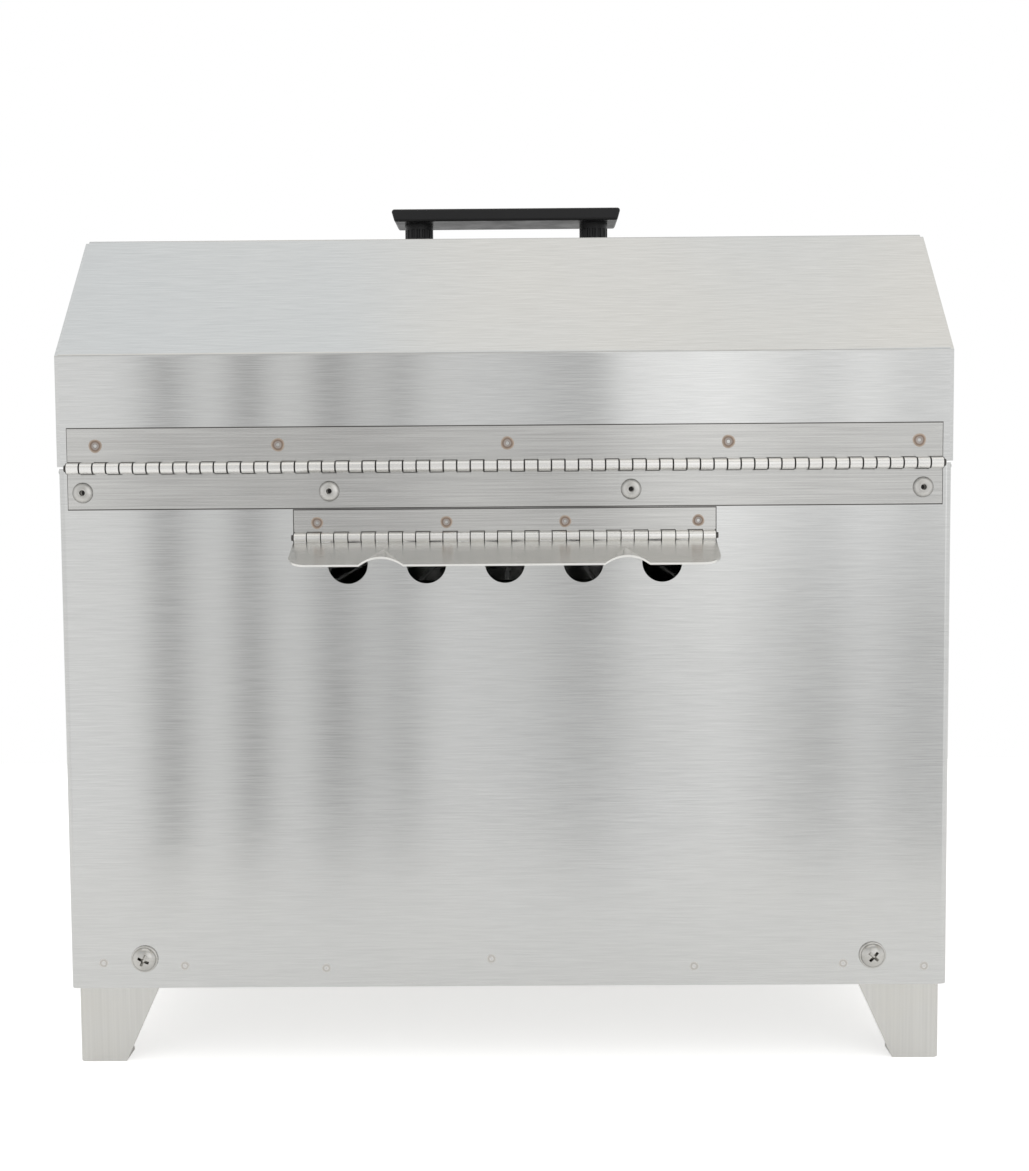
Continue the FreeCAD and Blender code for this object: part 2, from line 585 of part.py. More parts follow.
lid_sheet = new_body("lid_folded")
band = lid_band(lid_sheet, "lid_skin", "0", S.wall)
padded(lid_sheet, "lid_faces", band, f"2 * {wrap_half}", True)
rounded(lid_sheet, "lid_outer_bends", S.lid_bend, along("X", *lid_profile("0")[1:5]))
rounded(lid_sheet, "lid_inner_bends", inner_bend, along("X", *lid_profile(S.wall)[1:5]))
handle_bores = [(f"{s} * {S.post_x}", mid_y, leg_hole) for s in (-1, 1)]
top_holes = outline(lid_sheet, "handle_holes", [], handle_bores, "XY_Plane", top_z)
padded(lid_sheet, "handle_openings", top_holes, S.cutter, True, "PartDesign::Pocket")

# The thermometer sits square to the middle of the front chamfer.
slope_y = f"({front_y} + {S.lid_chamfer} / 2)"
slope_z = f"({fold_z} + {S.lid_chamfer} / 2)"
facing = Rotation(Vector(1, 0, 0), 45)
gauge_hole = rod("gauge_hole", f"{S.gauge_stem} + {S.hole_play}", 20, 0,
                 f"{slope_y} + 7", f"{slope_z} - 7", facing)


for name, side in corner_x.items():
    gable = new_body(f"gable_{name}")
    plate = outline(gable, f"gable_face_{name}", lid_profile(S.wall), (), "YZ_Plane",
                    f"{side} * {lid_half}")
    face = padded(gable, f"gable_plate_{name}", plate, S.wall)
    face.Reversed = side > 0
    lip = lid_band(gable, f"gable_band_{name}", S.wall, f"2 * {S.wall}", f"{side} * {lid_half}")
    flange = padded(gable, f"gable_flange_{name}", lip, S.return_flange)
    flange.Reversed = side > 0
    doc.recompute()
    rounded(gable, f"gable_bends_{name}", inner_bend, along("X", *lid_profile(S.wall)[1:5]))
    keep(f"lid_gable_{name}", gable)

# handle

bar_low = f"({top_z} + {S.post_height})"
bar_high = f"({bar_low} + {S.handle_bar})"
handle_bar = new_body("handle_bar")
bar_face = outline(handle_bar, "bar_face", [
    (f"-{S.handle_base_length} / 2", bar_low), (f"{S.handle_base_length} / 2", bar_low),
    (f"{S.handle_top_length} / 2", bar_high), (f"-{S.handle_top_length} / 2", bar_high)],
    (), "XZ_Plane", f"-{mid_y}")
padded(handle_bar, "bar_block", bar_face, S.handle_depth, True)
rounded(handle_bar, "bar_corners", 1.5, lambda edge: edge.BoundBox.XLength > 100
        or edge.BoundBox.YLength > 30 or abs(edge.BoundBox.ZLength - value_of(S.handle_bar)) < 0.01)
blind = outline(handle_bar, "bar_holes", [], [(x, y, S.screw_radius) for x, y, _ in handle_bores],
                "XY_Plane", bar_low)
pocket = padded(handle_bar, "bar_sockets", blind, S.handle_hole, True, "PartDesign::Pocket")
pocket.Midplane = False
pocket.Reversed = True
keep("handle_bar", handle_bar)

for name, side in corner_x.items():
    x = f"{side} * {S.post_x}"
    post = rod(f"post_{name}", S.post_radius, S.post_height, x, mid_y, top_z)
    bore = rod(f"post_bore_{name}", leg_hole, f"{S.post_height} + 2", x, mid_y, f"{top_z} - 1")
    flutes = []
    for i in range(16):
        angle = f"({i} * 22.5 * 1 deg)"
        flutes.append(rod(f"flute_{name}_{i}", S.flute_radius, f"{S.post_height} - 4",
                          f"{x} + {S.post_radius} * cos{angle}",
                          f"{mid_y} + {S.post_radius} * sin{angle}", f"{top_z} + 1"))
    keep(f"handle_spacer_{name}", cut(f"spacer_{name}", post, bore, *flutes))

handle_screw = phillips_screw("handle_screw", S.screw_radius, S.screw_head_radius, S.screw_head,
                              f"{S.wall} + {S.post_height} + {S.handle_hole} - 0.5")
under = Rotation(Vector(1, 0, 0), 180)
keep("handle_screws", copies("handle_screw_set", handle_screw, [
    (f"{side} * {S.post_x}", mid_y, f"{top_z} - {S.wall}", under) for side in (-1, 1)]))

# swing hooks and their studs

stud_z = f"({lid_z} + {S.stud_up})"
hook_reach = f"({stud_z} - {pivot_z})"
hook_back = f"({front_y} - {S.hook_clearance})"
hook_face = f"({hook_back} - {S.hook_wall})"
hook_half = f"({S.hook_width} / 2)"
slot_half = f"({S.stud_radius} + 0.4)"

for name, side in corner_x.items():
    x = f"{side} * {S.latch_x}"
    tip_z = f"({pivot_z} - {hook_reach})"
    strip = box(f"hook_strip_{name}", (f"{x} - {hook_half}", hook_face, tip_z),
                (f"{x} + {hook_half}", hook_back, pivot_z))
    eye = rod(f"hook_eye_{name}", S.hook_eye, S.hook_wall, x, hook_back, pivot_z, outward["front"])
    claw = rod(f"hook_claw_{name}", S.hook_claw, S.hook_wall, x, hook_back, tip_z, outward["front"])
    tab = box(f"hook_tab_{name}", (f"{x} - {hook_half}", f"{hook_face} - {S.hook_tab}",
                                   f"{tip_z} - {S.hook_tab} - {S.hook_wall}"),
              (f"{x} + {hook_half}", hook_back, f"{tip_z} - {S.hook_tab}"))
    eye_bore = drill(f"hook_bore_{name}", f"{S.rivet_hole} + {S.pin_fit}", x, hook_face, pivot_z)
    seat = drill(f"hook_seat_{name}", slot_half, x, hook_face, tip_z)
    near, far = (x, f"{x} + {S.hook_mouth}") if side > 0 else (f"{x} - {S.hook_mouth}", x)
    mouth = box(f"hook_mouth_{name}", (near, f"{hook_face} - 1", f"{tip_z} - {slot_half}"),
                (far, f"{hook_back} + 1", f"{tip_z} + {slot_half}"))
    keep(f"latch_hook_{name}", cut(f"hook_{name}", fuse(f"hook_blank_{name}",
                                                        [strip, eye, claw, tab]),
                                   eye_bore, seat, mouth))

pivot_lift = f"({S.hook_wall} + 0.8)"
pivot_pin = revolved("pivot_pin", [
    ("0", f"-{S.wall} - 2"), ("3.6", f"-{S.wall} - 2"), ("3.6", f"-{S.wall}"),
    (S.rivet_hole, f"-{S.wall}"), (S.rivet_hole, pivot_lift), ("5", pivot_lift),
    ("5", f"{pivot_lift} + 1.2"), ("3.5", f"{pivot_lift} + 2.2"), ("0", f"{pivot_lift} + 2.4")])
keep("latch_pivots", copies("latch_pivot_set", pivot_pin, [
    (f"{side} * {S.latch_x}", front_y, pivot_z, outward["front"]) for side in (-1, 1)]))
stud = revolved("stud_pin", [
    ("0", f"-{S.wall} - 3"), ("5", f"-{S.wall} - 3"), ("5", f"-{S.wall}"),
    (S.stud_radius, f"-{S.wall}"), (S.stud_radius, f"{pivot_lift} + 0.2"),
    ("5.5", f"{pivot_lift} + 0.2"), ("5.5", f"{pivot_lift} + 1.6"), ("4", f"{pivot_lift} + 2.4"),
    ("0", f"{pivot_lift} + 2.6")])
keep("keeper_studs", copies("keeper_stud_set", stud, [
    (f"{side} * {S.latch_x}", front_y, stud_z, outward["front"]) for side in (-1, 1)]))
stud_holes = [drill(f"stud_hole_{side + 1}", S.stud_radius, f"{side} * {S.latch_x}", front_y,
                   stud_z) for side in (-1, 1)]
keep("lid_wrap", cut("lid_wrap_drilled", lid_sheet, gauge_hole, *stud_holes))

# lid thermometer

bezel = f"({S.gauge_radius} - {S.bezel_width})"
dial_back = f"({S.bezel_width})"
dial_face = f"({S.bezel_width} + {S.dial_wall})"
dial_bore = f"({S.needle_spindle} + 0.1)"
keep("thermometer_case", copies("gauge_case", revolved("gauge_case_solid", [
    ("0", f"-{S.stem_length}"), (S.gauge_stem, f"-{S.stem_length}"), (S.gauge_stem, "0"),
    (f"{S.gauge_radius} - 2", "0"),
    (S.gauge_radius, "2"), (S.gauge_radius, f"{S.gauge_depth} - 1"),
    (f"{S.gauge_radius} - 1", S.gauge_depth), (bezel, S.gauge_depth), (bezel, dial_back),
    ("0", dial_back)]), [(0, slope_y, slope_z, facing)]))
keep("thermometer_dial", copies("gauge_dial", revolved("gauge_dial_solid", [
    (dial_bore, dial_back), (bezel, dial_back), (bezel, dial_face), (dial_bore, dial_face)]),
    [(0, slope_y, slope_z, facing)]))
keep("thermometer_glass", copies("gauge_glass", revolved("gauge_glass_solid", [
    ("0", f"{S.gauge_depth} - 3"), (bezel, f"{S.gauge_depth} - 3"),
    (bezel, f"{S.gauge_depth} - 1"), ("0", f"{S.gauge_depth} - 1")]),
    [(0, slope_y, slope_z, facing)]))
needle = box("needle", (f"-{S.needle_half}", "-6", f"{S.needle_up} + 0.2"),
             (S.needle_half, S.needle_reach, f"{S.needle_up} + 1"))
hub = rod("needle_hub", S.needle_hub, f"2 * {S.dial_wall}", 0, 0, S.needle_up)
spindle = rod("needle_spindle", S.needle_spindle, 3, 0, 0, f"{dial_back} + 0.3")
cold = Rotation(Vector(0, 0, 1), value_of(S.cold_turn))
keep("thermometer_pointer", copies("gauge_pointer", fuse("pointer_solid", [needle, hub, spindle]),
                                   [(0, slope_y, slope_z, facing.multiply(cold))]))
gauge_hex = doc.addObject("Part::Prism", "gauge_hex")
gauge_hex.Polygon = 6
bound(gauge_hex, Circumradius=S.gauge_nut_radius, Height=S.gauge_nut_height)
place(gauge_hex, 0, 0, f"-{S.wall} - {S.gauge_nut_height}")
gauge_nut = cut("gauge_nut", gauge_hex, rod("gauge_nut_bore", S.gauge_stem, S.cutter, 0, 0,
                                            f"-{S.cutter}"))
keep("thermometer_nut", copies("gauge_nut_set", gauge_nut, [(0, slope_y, slope_z, facing)]))

# control housing

house_low_x = f"({S.housing_x} - {S.housing_width} / 2)"
house_high_x = f"({S.housing_x} + {S.housing_width} / 2)"
house_low_z = f"({base_z} + {S.housing_up})"
house_high_z = f"({house_low_z} + {S.housing_height})"
face_y = f"({front_y} - {S.housing_depth})"
inside_y = f"({face_y} + {S.housing_wall})"
knob_x = f"({S.housing_x} + {S.knob_x})"
knob_z = f"({house_low_z} + {S.housing_height} / 2)"
switch_x = f"({S.housing_x} + {S.switch_x})"
switch_z = f"({base_z} + {S.switch_up})"
lamp_z = f"({base_z} + {S.lamp_up})"

shell = box("house_shell", (house_low_x, face_y, house_low_z),
            (house_high_x, front_y, house_high_z))
ears = box("house_ears", (f"{house_low_x} - {S.ear_width}", f"{front_y} - {S.housing_wall}",
                          house_low_z),
           (f"{house_high_x} + {S.ear_width}", front_y, house_high_z))
hollow = box("house_hollow", (f"{house_low_x} + {S.housing_wall}", inside_y,
                              f"{house_low_z} + {S.housing_wall}"),
             (f"{house_high_x} - {S.housing_wall}", f"{front_y} + 1",
              f"{house_high_z} - {S.housing_wall}"))
knob_hole = drill("knob_hole", f"{S.neck_radius} + {S.hole_play}", knob_x, face_y, knob_z)
lamp_hole = drill("lamp_hole", S.lamp_radius, switch_x, face_y, lamp_z)
switch_hole = box("switch_hole", (f"{switch_x} - {S.switch_half_x}", f"{face_y} - 5",
                                  f"{switch_z} - {S.switch_half_z}"),
                  (f"{switch_x} + {S.switch_half_x}", f"{face_y} + 5",
                   f"{switch_z} + {S.switch_half_z}"))
inlet_y = f"({front_y} - {S.housing_depth} / 2)"
inlet_hole = box("inlet_hole", (f"{house_high_x} - 5", f"{inlet_y} - {S.inlet_half_y}",
                                f"{knob_z} - {S.inlet_half_z}"),
                 (f"{house_high_x} + 5", f"{inlet_y} + {S.inlet_half_y}",
                  f"{knob_z} + {S.inlet_half_z}"))
ear_spots = [(x, front_y, z) for x in (f"{house_low_x} - {S.ear_width} / 2",
                                       f"{house_high_x} + {S.ear_width} / 2")
             for z in (f"{house_low_z} + {S.ear_drop}", f"{house_high_z} - {S.ear_drop}")]
ear_holes = [drill(f"ear_hole_{i}", S.small_screw, *spot) for i, spot in enumerate(ear_spots)]
keep("control_housing", cut("housing", fuse("house_blank", [shell, ears]), hollow, knob_hole,
                            lamp_hole, switch_hole, inlet_hole, *ear_holes))
small = phillips_screw("small_screw", S.small_screw, S.small_head_radius, S.small_head,
                       S.small_length)
keep("housing_screws", copies("housing_screw_set", small, [
    (x, f"{y} - {S.housing_wall}", z, outward["front"]) for x, y, z in ear_spots]))
panel_screw_holes = [drill(f"panel_screw_hole_{i}", S.small_screw, *spot)
                     for i, spot in enumerate(ear_spots)]
keep("front_panel", cut("front_panel_drilled", front_panel, *panel_screw_holes))

# Capillary thermostat: block, threaded neck and shaft; its bulb reaches into the chamber.
block = box("thermostat_block", (f"{knob_x} - {S.block_half}", inside_y, f"{knob_z} - {S.block_half}"),
            (f"{knob_x} + {S.block_half}", f"{inside_y} + {S.block_depth}",
             f"{knob_z} + {S.block_half}"))
neck_rod = rod("thermostat_neck", S.neck_radius, f"{S.housing_wall} + 0.4", knob_x, inside_y, knob_z,
               outward["front"])
shaft = rod("thermostat_shaft", S.shaft_radius, f"{S.housing_wall} + 11", knob_x, inside_y, knob_z,
            outward["front"])
keep("thermostat_body", fuse("thermostat", [block, neck_rod, shaft]))
block_back = f"({inside_y} + {S.block_depth})"
capillary = rod("capillary", S.capillary_radius, f"{front_y} + 12 - {block_back}", knob_x,
                block_back, bulb_z, outward["rear"])
bulb = rod("bulb", S.bulb_radius, S.bulb_length, knob_x, f"{front_y} + 10", bulb_z, outward["rear"])
keep("thermostat_bulb", fuse("sensor", [capillary, bulb]))

knob_back = f"({face_y} - {S.knob_gap})"
knob_turned = revolved("knob_turned", [
    (f"{S.shaft_radius} + {S.pin_fit}", "0"), (S.knob_radius, "0"),
    (S.knob_radius, "3"), (f"0.78 * {S.knob_radius}", "5"), (f"0.72 * {S.knob_radius}",
                                                            f"{S.knob_depth} - 1"),
    (f"0.68 * {S.knob_radius}", S.knob_depth), ("0", S.knob_depth), ("0", "11"),
    (f"{S.shaft_radius} + {S.pin_fit}", "11")])
ridge = box("knob_ridge", ("-1.2", f"0.3 * {S.knob_radius}", f"{S.knob_depth} - 1"),
            ("1.2", f"0.66 * {S.knob_radius}", f"{S.knob_depth} + 1"))
keep("thermostat_knob", copies("knob_at_face", fuse("knob", [knob_turned, ridge]),
                               [(knob_x, knob_back, knob_z, outward["front"])]))

# Rocker switch: a framed box with the rocker turning on a cross axis behind its face.
rim_x, rim_high = f"({S.switch_half_x} + 1.7)", f"({S.switch_half_z} + 2)"
rim = box("switch_rim", (f"{switch_x} - {rim_x}", f"{face_y} - {S.switch_lip}",
                         f"{switch_z} - {rim_high}"),
          (f"{switch_x} + {rim_x}", face_y, f"{switch_z} + {rim_high}"))
case = box("switch_case", (f"{switch_x} - {S.switch_half_x}", face_y,
                           f"{switch_z} - {S.switch_half_z}"),
           (f"{switch_x} + {S.switch_half_x}", f"{face_y} + {S.switch_depth}",
            f"{switch_z} + {S.switch_half_z}"))
cavity = box("switch_cavity", (f"{switch_x} - {S.cavity_half_x}", f"{face_y} - 5",
                               f"{switch_z} - {S.cavity_half_z}"),
             (f"{switch_x} + {S.cavity_half_x}", f"{face_y} + {S.cavity_depth}",
              f"{switch_z} + {S.cavity_half_z}"))
keep("switch_frame", cut("switch_shell", fuse("switch_blank", [rim, case]), cavity))
rocker_round = rod("rocker_round", S.rocker_radius, f"2 * {S.rocker_half}",
                   f"-{S.rocker_half}", 0, 0, lying)
rocker_flat = box("rocker_flat", ("-10", "2", "-15"), ("10", "15", "15"))
rocker_scoop = rod("rocker_scoop", S.rocker_scoop_radius, 20, -10,
                   f"-{S.rocker_radius} - {S.rocker_scoop}", 0, lying)
tilted = Rotation(Vector(1, 0, 0), -value_of(S.rocker_tilt))
keep("switch_rocker", copies("rocker_at_face", cut("rocker", rocker_round, rocker_flat,
                                                   rocker_scoop),
                             [(switch_x, f"{face_y} + {S.rocker_back}", switch_z, tilted)]))
lamp = revolved("lamp_turned", [
    ("0", "-12"), (S.lamp_radius, "-12"), (S.lamp_radius, "0"), (f"{S.lamp_radius} + 1.5", "0"),
    (f"{S.lamp_radius} + 1.5", "1"), (f"0.9 * {S.lamp_radius}", "1.6"),
    (f"0.6 * {S.lamp_radius}", "3.4"), ("0", "4")])
keep("pilot_lamp", copies("lamp_at_face", lamp, [(switch_x, face_y, lamp_z, outward["front"])]))

inlet_out_y, inlet_out_z = (f"({half} + {S.inlet_lip})" for half in
                            (S.inlet_half_y, f"{S.inlet_half_z} + 0.5"))
inlet_flange = box("inlet_flange", (house_high_x, f"{inlet_y} - {inlet_out_y}",
                                    f"{knob_z} - {inlet_out_z}"),
                   (f"{house_high_x} + 2", f"{inlet_y} + {inlet_out_y}",
                    f"{knob_z} + {inlet_out_z}"))
inlet_case = box("inlet_case", (f"{house_high_x} - {S.inlet_depth}", f"{inlet_y} - {S.inlet_half_y}",
                                f"{knob_z} - {S.inlet_half_z}"),
                 (house_high_x, f"{inlet_y} + {S.inlet_half_y}", f"{knob_z} + {S.inlet_half_z}"))
inlet_mouth = box("inlet_mouth", (f"{house_high_x} - {S.mouth_depth}",
                                  f"{inlet_y} - {S.mouth_half_y}",
                                  f"{knob_z} - {S.mouth_half_z}"),
                  (f"{house_high_x} + 5", f"{inlet_y} + {S.mouth_half_y}",
                   f"{knob_z} + {S.mouth_half_z}"))
blades = [box(f"inlet_blade_{i}", (f"{house_high_x} - {S.mouth_depth} - 2",
                                   f"{inlet_y} + {dy} - {S.blade_half}",
                                   f"{knob_z} + {dz} - {S.blade_half} / 2"),
              (f"{house_high_x} - 1", f"{inlet_y} + {dy} + {S.blade_half}",
               f"{knob_z} + {dz} + {S.blade_half} / 2"))
          for i, (dy, dz) in enumerate(((-2, -7), (2, 0), (-2, 7)))]
keep("power_inlet", fuse("inlet", [cut("inlet_socket", fuse("inlet_blank", [inlet_flange,
                                                                            inlet_case]),
                                       inlet_mouth), *blades]))

# heater

left_x = f"(-{S.element_half_width})"
near_y = f"({front_y} + {S.element_front})"
far_y = f"({S.rear_y} - {S.element_rear})"
first_x = f"({S.housing_x} - {S.terminal_x})"
last_x = f"({S.housing_x} + {S.terminal_x})"
terminal_y = f"({front_y} - {S.terminal_reach})"
route = [(first_x, terminal_y), (first_x, near_y), (left_x, near_y), (left_x, far_y),
         (last_x, far_y), (last_x, terminal_y)]
corners = [Vector(value_of(x), value_of(y), value_of(element_z)) for x, y in route]
bend = value_of(S.element_bend)
edges = []
start = corners[0]
for before, here, after in zip(corners, corners[1:], corners[2:]):
    arrive = (here - before).normalize()
    leave = (after - here).normalize()
    bend_in = here - arrive * bend
    bend_out = here + leave * bend
    middle = here + (leave - arrive) * bend - (leave - arrive).normalize() * bend
    edges.append(Part.LineSegment(start, bend_in).toShape())
    edges.append(Part.Arc(bend_in, middle, bend_out).toShape())
    start = bend_out
edges.append(Part.LineSegment(start, corners[-1]).toShape())
section = Part.Wire(Part.makeCircle(value_of(S.rod_radius), corners[0], Vector(0, 1, 0)))
heating_element = doc.addObject("Part::Feature", "heating_element")
heating_element.Shape = Part.Wire(edges).makePipeShell([section], True, False)
keep("heating_element", heating_element)

flange_plate = box("flange_plate", (f"{first_x} - {S.ear_width}", f"{front_y} + {S.wall}",
                                    f"{element_z} - {S.flange_half_height}"),
                   (f"{last_x} + {S.ear_width}", f"{front_y} + {S.wall} + {S.flange_wall}",
                    f"{element_z} + {S.flange_half_height}"))
flange_bores = [drill(f"flange_bore_{i}", S.rod_radius, x, front_y, element_z)
                for i, x in enumerate((first_x, last_x))]
keep("element_flange", cut("flange", flange_plate, *flange_bores))
stand_low, stand_high = (f"({far_y} {s} {S.stand_half_depth})" for s in "-+")
stand = box("stand", (f"-{S.stand_wall} / 2", stand_low, floor_z),
            (f"{S.stand_wall} / 2", stand_high, f"{element_z} + {S.stand_half_depth}"))
stand_foot = box("stand_foot", (f"-{S.stand_wall} / 2", stand_low, floor_z),
                 (f"7 * {S.stand_wall}", stand_high, f"{floor_z} + {S.stand_wall}"))
stand_bore = rod("stand_bore", S.rod_radius, S.cutter, f"-{S.cutter} / 2", far_y, element_z,
                 lying)
keep("element_bracket", cut("bracket", fuse("stand_blank", [stand, stand_foot]), stand_bore))

# chip drawer

tray_low_x = f"({S.drawer_x} - {S.drawer_width} / 2)"
tray_high_x = f"({S.drawer_x} + {S.drawer_width} / 2)"
tray_front = f"({front_y} - {S.drawer_gap})"
tray_back = f"({front_y} + {S.drawer_depth})"
drawer_high = f"({drawer_low} + {S.drawer_height})"
tray = box("tray", (tray_low_x, tray_front, drawer_low), (tray_high_x, tray_back, drawer_high))
tray_inside = box("tray_inside", (f"{tray_low_x} + {S.wall}", f"{tray_front} + {S.wall}",
                                  f"{drawer_low} + {S.wall}"),
                  (f"{tray_high_x} - {S.wall}", f"{tray_back} - {S.wall}", f"{drawer_high} + 5"))
keep("chip_tray", cut("chip_tray_sheet", tray, tray_inside))
plate_y = f"({tray_front} - {S.drawer_front_wall})"
knob_mid_z = f"({drawer_low} + {S.drawer_height} / 2)"
front_plate = box("front_plate", (f"{tray_low_x} - {S.drawer_lap}", plate_y,
                                  f"{drawer_low} - {S.drawer_lap}"),
                  (f"{tray_high_x} + {S.drawer_lap}", tray_front,
                   f"{drawer_high} + {S.drawer_lap}"))
plate_hole = drill("plate_hole", S.pull_stem, S.drawer_x, tray_front, knob_mid_z)
keep("drawer_front", cut("drawer_plate", front_plate, plate_hole))
pull = revolved("pull_turned", [
    ("0", f"-{S.drawer_front_wall}"), (S.pull_stem, f"-{S.drawer_front_wall}"),
    (S.pull_stem, "0"), ("6", "0"),
    ("5", "3"), ("5", f"{S.drawer_knob_depth} - 8"),
    (S.drawer_knob_radius, f"{S.drawer_knob_depth} - 5"),
    (S.drawer_knob_radius, f"{S.drawer_knob_depth} - 2"),
    (f"{S.drawer_knob_radius} - 3", S.drawer_knob_depth), ("0", S.drawer_knob_depth)])
keep("drawer_knob", copies("pull_at_front", pull, [(S.drawer_x, plate_y, knob_mid_z,
                                                    outward["front"])]))
runner_top = f"({drawer_low} - {S.runner_gap})"
runner_end = f"({tray_back} + {S.runner_past})"
runner_start = f"({front_y} + {S.wall})"
for name, side, edge_x in (("left", -1, tray_low_x), ("right", 1, tray_high_x)):
    def across(a, b):
        """Ordered x limits from distances measured outwards from the tray's side."""
        near, far = f"({edge_x} + {side} * ({a}))", f"({edge_x} + {side} * ({b}))"
        return (near, far) if side > 0 else (far, near)
    fence_out = f"{S.runner_gap} + {S.runner_wall}"
    ledge_x = across(f"-{S.runner_ledge}", fence_out)
    fence_x = across(S.runner_gap, fence_out)
    ledge = box(f"ledge_{name}", (ledge_x[0], runner_start, f"{runner_top} - {S.runner_wall}"),
                (ledge_x[1], runner_end, runner_top))
    fence = box(f"fence_{name}", (fence_x[0], runner_start, runner_top),
                (fence_x[1], runner_end, f"{drawer_low} + {S.runner_fence}"))
    prop = box(f"prop_{name}", (ledge_x[0], f"{runner_end} - {S.runner_wall}", floor_z),
               (ledge_x[1], runner_end, runner_top))
    keep(f"drawer_runner_{name}", fuse(f"runner_{name}", [ledge, fence, prop]))

# racks, drip pan and grates

rack_front = f"({front_y} + {S.rack_inset})"
rack_back = f"({S.rear_y} - {S.rack_inset})"
rack_low = f"({base_z} + {S.rack_base})"
rack_high = f"({base_z} + {S.rack_top})"
rack_inner = f"({inner_half} - {S.rack_wall})"
ledge_tip = f"({rack_inner} - {S.ledge})"
levels = [S.pan_up, S.lower_ledge, S.upper_ledge]
for name, side in corner_x.items():
    def span(a, b):
        near, far = f"({side} * {a})", f"({side} * {b})"
        return (near, far) if side > 0 else (far, near)
    web_x, step_x = span(rack_inner, inner_half), span(ledge_tip, inner_half)
    pieces = [box(f"rack_web_{name}", (web_x[0], rack_front, rack_low),
                  (web_x[1], rack_back, rack_high))]
    for i, level in enumerate(levels):
        high = f"({base_z} + {level})"
        pieces.append(box(f"rack_step_{name}_{i}",
                          (step_x[0], rack_front, f"{high} - {S.rack_wall}"),
                          (step_x[1], rack_back, high)))
    keep(f"rack_{name}", fuse(f"rack_sheet_{name}", pieces))

pan_half = f"({rack_inner} - {S.grate_play})"
pan_low = f"({base_z} + {S.pan_up})"
drip_outer = box("drip_outer", (f"-{pan_half}", f"{rack_front} + {S.grate_play}", pan_low),
                 (pan_half, f"{rack_back} - {S.grate_play}", f"{pan_low} + {S.drip_pan_height}"))
drip_inner = box("drip_inner", (f"-{pan_half} + {S.wall}",
                                f"{rack_front} + {S.grate_play} + {S.wall}",
                                f"{pan_low} + {S.wall}"),
                 (f"{pan_half} - {S.wall}", f"{rack_back} - {S.grate_play} - {S.wall}",
                  f"{pan_low} + 20"))
keep("drip_pan", cut("drip_pan_sheet", drip_outer, drip_inner))


def grate(node, level):
    """A rim of thick wire with thin wires from front to back."""
    z = f"({base_z} + {level} + {S.grate_rim})"
    half = f"({rack_inner} - {S.grate_play} - {S.grate_rim})"
    low_y = f"({rack_front} + {S.grate_play} + {S.grate_rim})"
    high_y = f"({rack_back} - {S.grate_play} - {S.grate_rim})"
    run = f"{high_y} - {low_y}"
    wires = [rod(f"{node}_front", S.grate_rim, f"2 * {half}", f"-{half}", low_y, z, lying),
             rod(f"{node}_back", S.grate_rim, f"2 * {half}", f"-{half}", high_y, z, lying)]
    for side in (-1, 1):
        wires.append(rod(f"{node}_side_{side + 1}", S.grate_rim, run, f"{side} * {half}", low_y, z,
                         outward["rear"]))
        for y, end in ((low_y, "front"), (high_y, "back")):
            ball = doc.addObject("Part::Sphere", f"{node}_{end}_{side + 1}")
            bound(ball, Radius=S.grate_rim)
            wires.append(place(ball, f"{side} * {half}", y, z))
    count = int(value_of(half) // value_of(S.grate_pitch))
    for i in range(-count, count + 1):
        wires.append(rod(f"{node}_wire_{i + count}", S.grate_wire, run,
                         f"{i} * {S.grate_pitch}", low_y, z, outward["rear"]))
    keep(node, fuse(f"{node}_welded", wires))


grate("lower_grate", S.lower_ledge)
grate("upper_grate", S.upper_ledge)

# check and write

doc.recompute()
for thing in doc.Objects:
    if "Invalid" in thing.State or "Error" in thing.State:
        raise RuntimeError(f"{thing.Name} did not compute: {thing.State}")
for node, thing in made.items():
    shape = thing.Shape
    if shape.isNull() or not shape.isValid() or not shape.Solids:
        raise RuntimeError(f"{node} has no valid solid")
    shape.exportStep(f"parts/{node}.step")
print(len(made), "sub-parts written")
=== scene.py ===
import math
import bmesh
import bpy
from mathutils import Matrix, Vector


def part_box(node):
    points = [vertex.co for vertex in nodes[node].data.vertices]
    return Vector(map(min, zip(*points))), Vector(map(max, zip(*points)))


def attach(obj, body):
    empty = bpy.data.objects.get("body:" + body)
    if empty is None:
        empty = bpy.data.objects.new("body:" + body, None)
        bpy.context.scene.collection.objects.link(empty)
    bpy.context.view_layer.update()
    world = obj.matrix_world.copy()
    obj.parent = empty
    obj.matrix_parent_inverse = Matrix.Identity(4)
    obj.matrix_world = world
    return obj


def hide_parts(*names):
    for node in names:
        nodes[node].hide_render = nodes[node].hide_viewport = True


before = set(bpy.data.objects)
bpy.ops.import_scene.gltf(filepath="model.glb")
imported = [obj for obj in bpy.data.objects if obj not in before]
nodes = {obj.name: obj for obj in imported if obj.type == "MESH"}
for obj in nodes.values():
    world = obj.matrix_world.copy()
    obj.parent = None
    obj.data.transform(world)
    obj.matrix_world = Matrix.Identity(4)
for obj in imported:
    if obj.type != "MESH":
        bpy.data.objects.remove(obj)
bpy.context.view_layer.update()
print("frame loaded:", len(nodes), "nodes")

mm = 0.001


# Small helpers for node trees

def addNode(tree, kind, inputs=None, **settings):
    node = tree.nodes.new(kind)
    for name, value in settings.items():
        setattr(node, name, value)
    for name, value in (inputs or {}).items():
        if isinstance(value, bpy.types.NodeSocket):
            tree.links.new(value, node.inputs[name])
        else:
            node.inputs[name].default_value = value
    return node


def newMaterial(name):
    material = bpy.data.materials.new(name)
    material.use_nodes = True
    tree = material.node_tree
    shader = tree.nodes["Principled BSDF"]
    return material, tree, shader


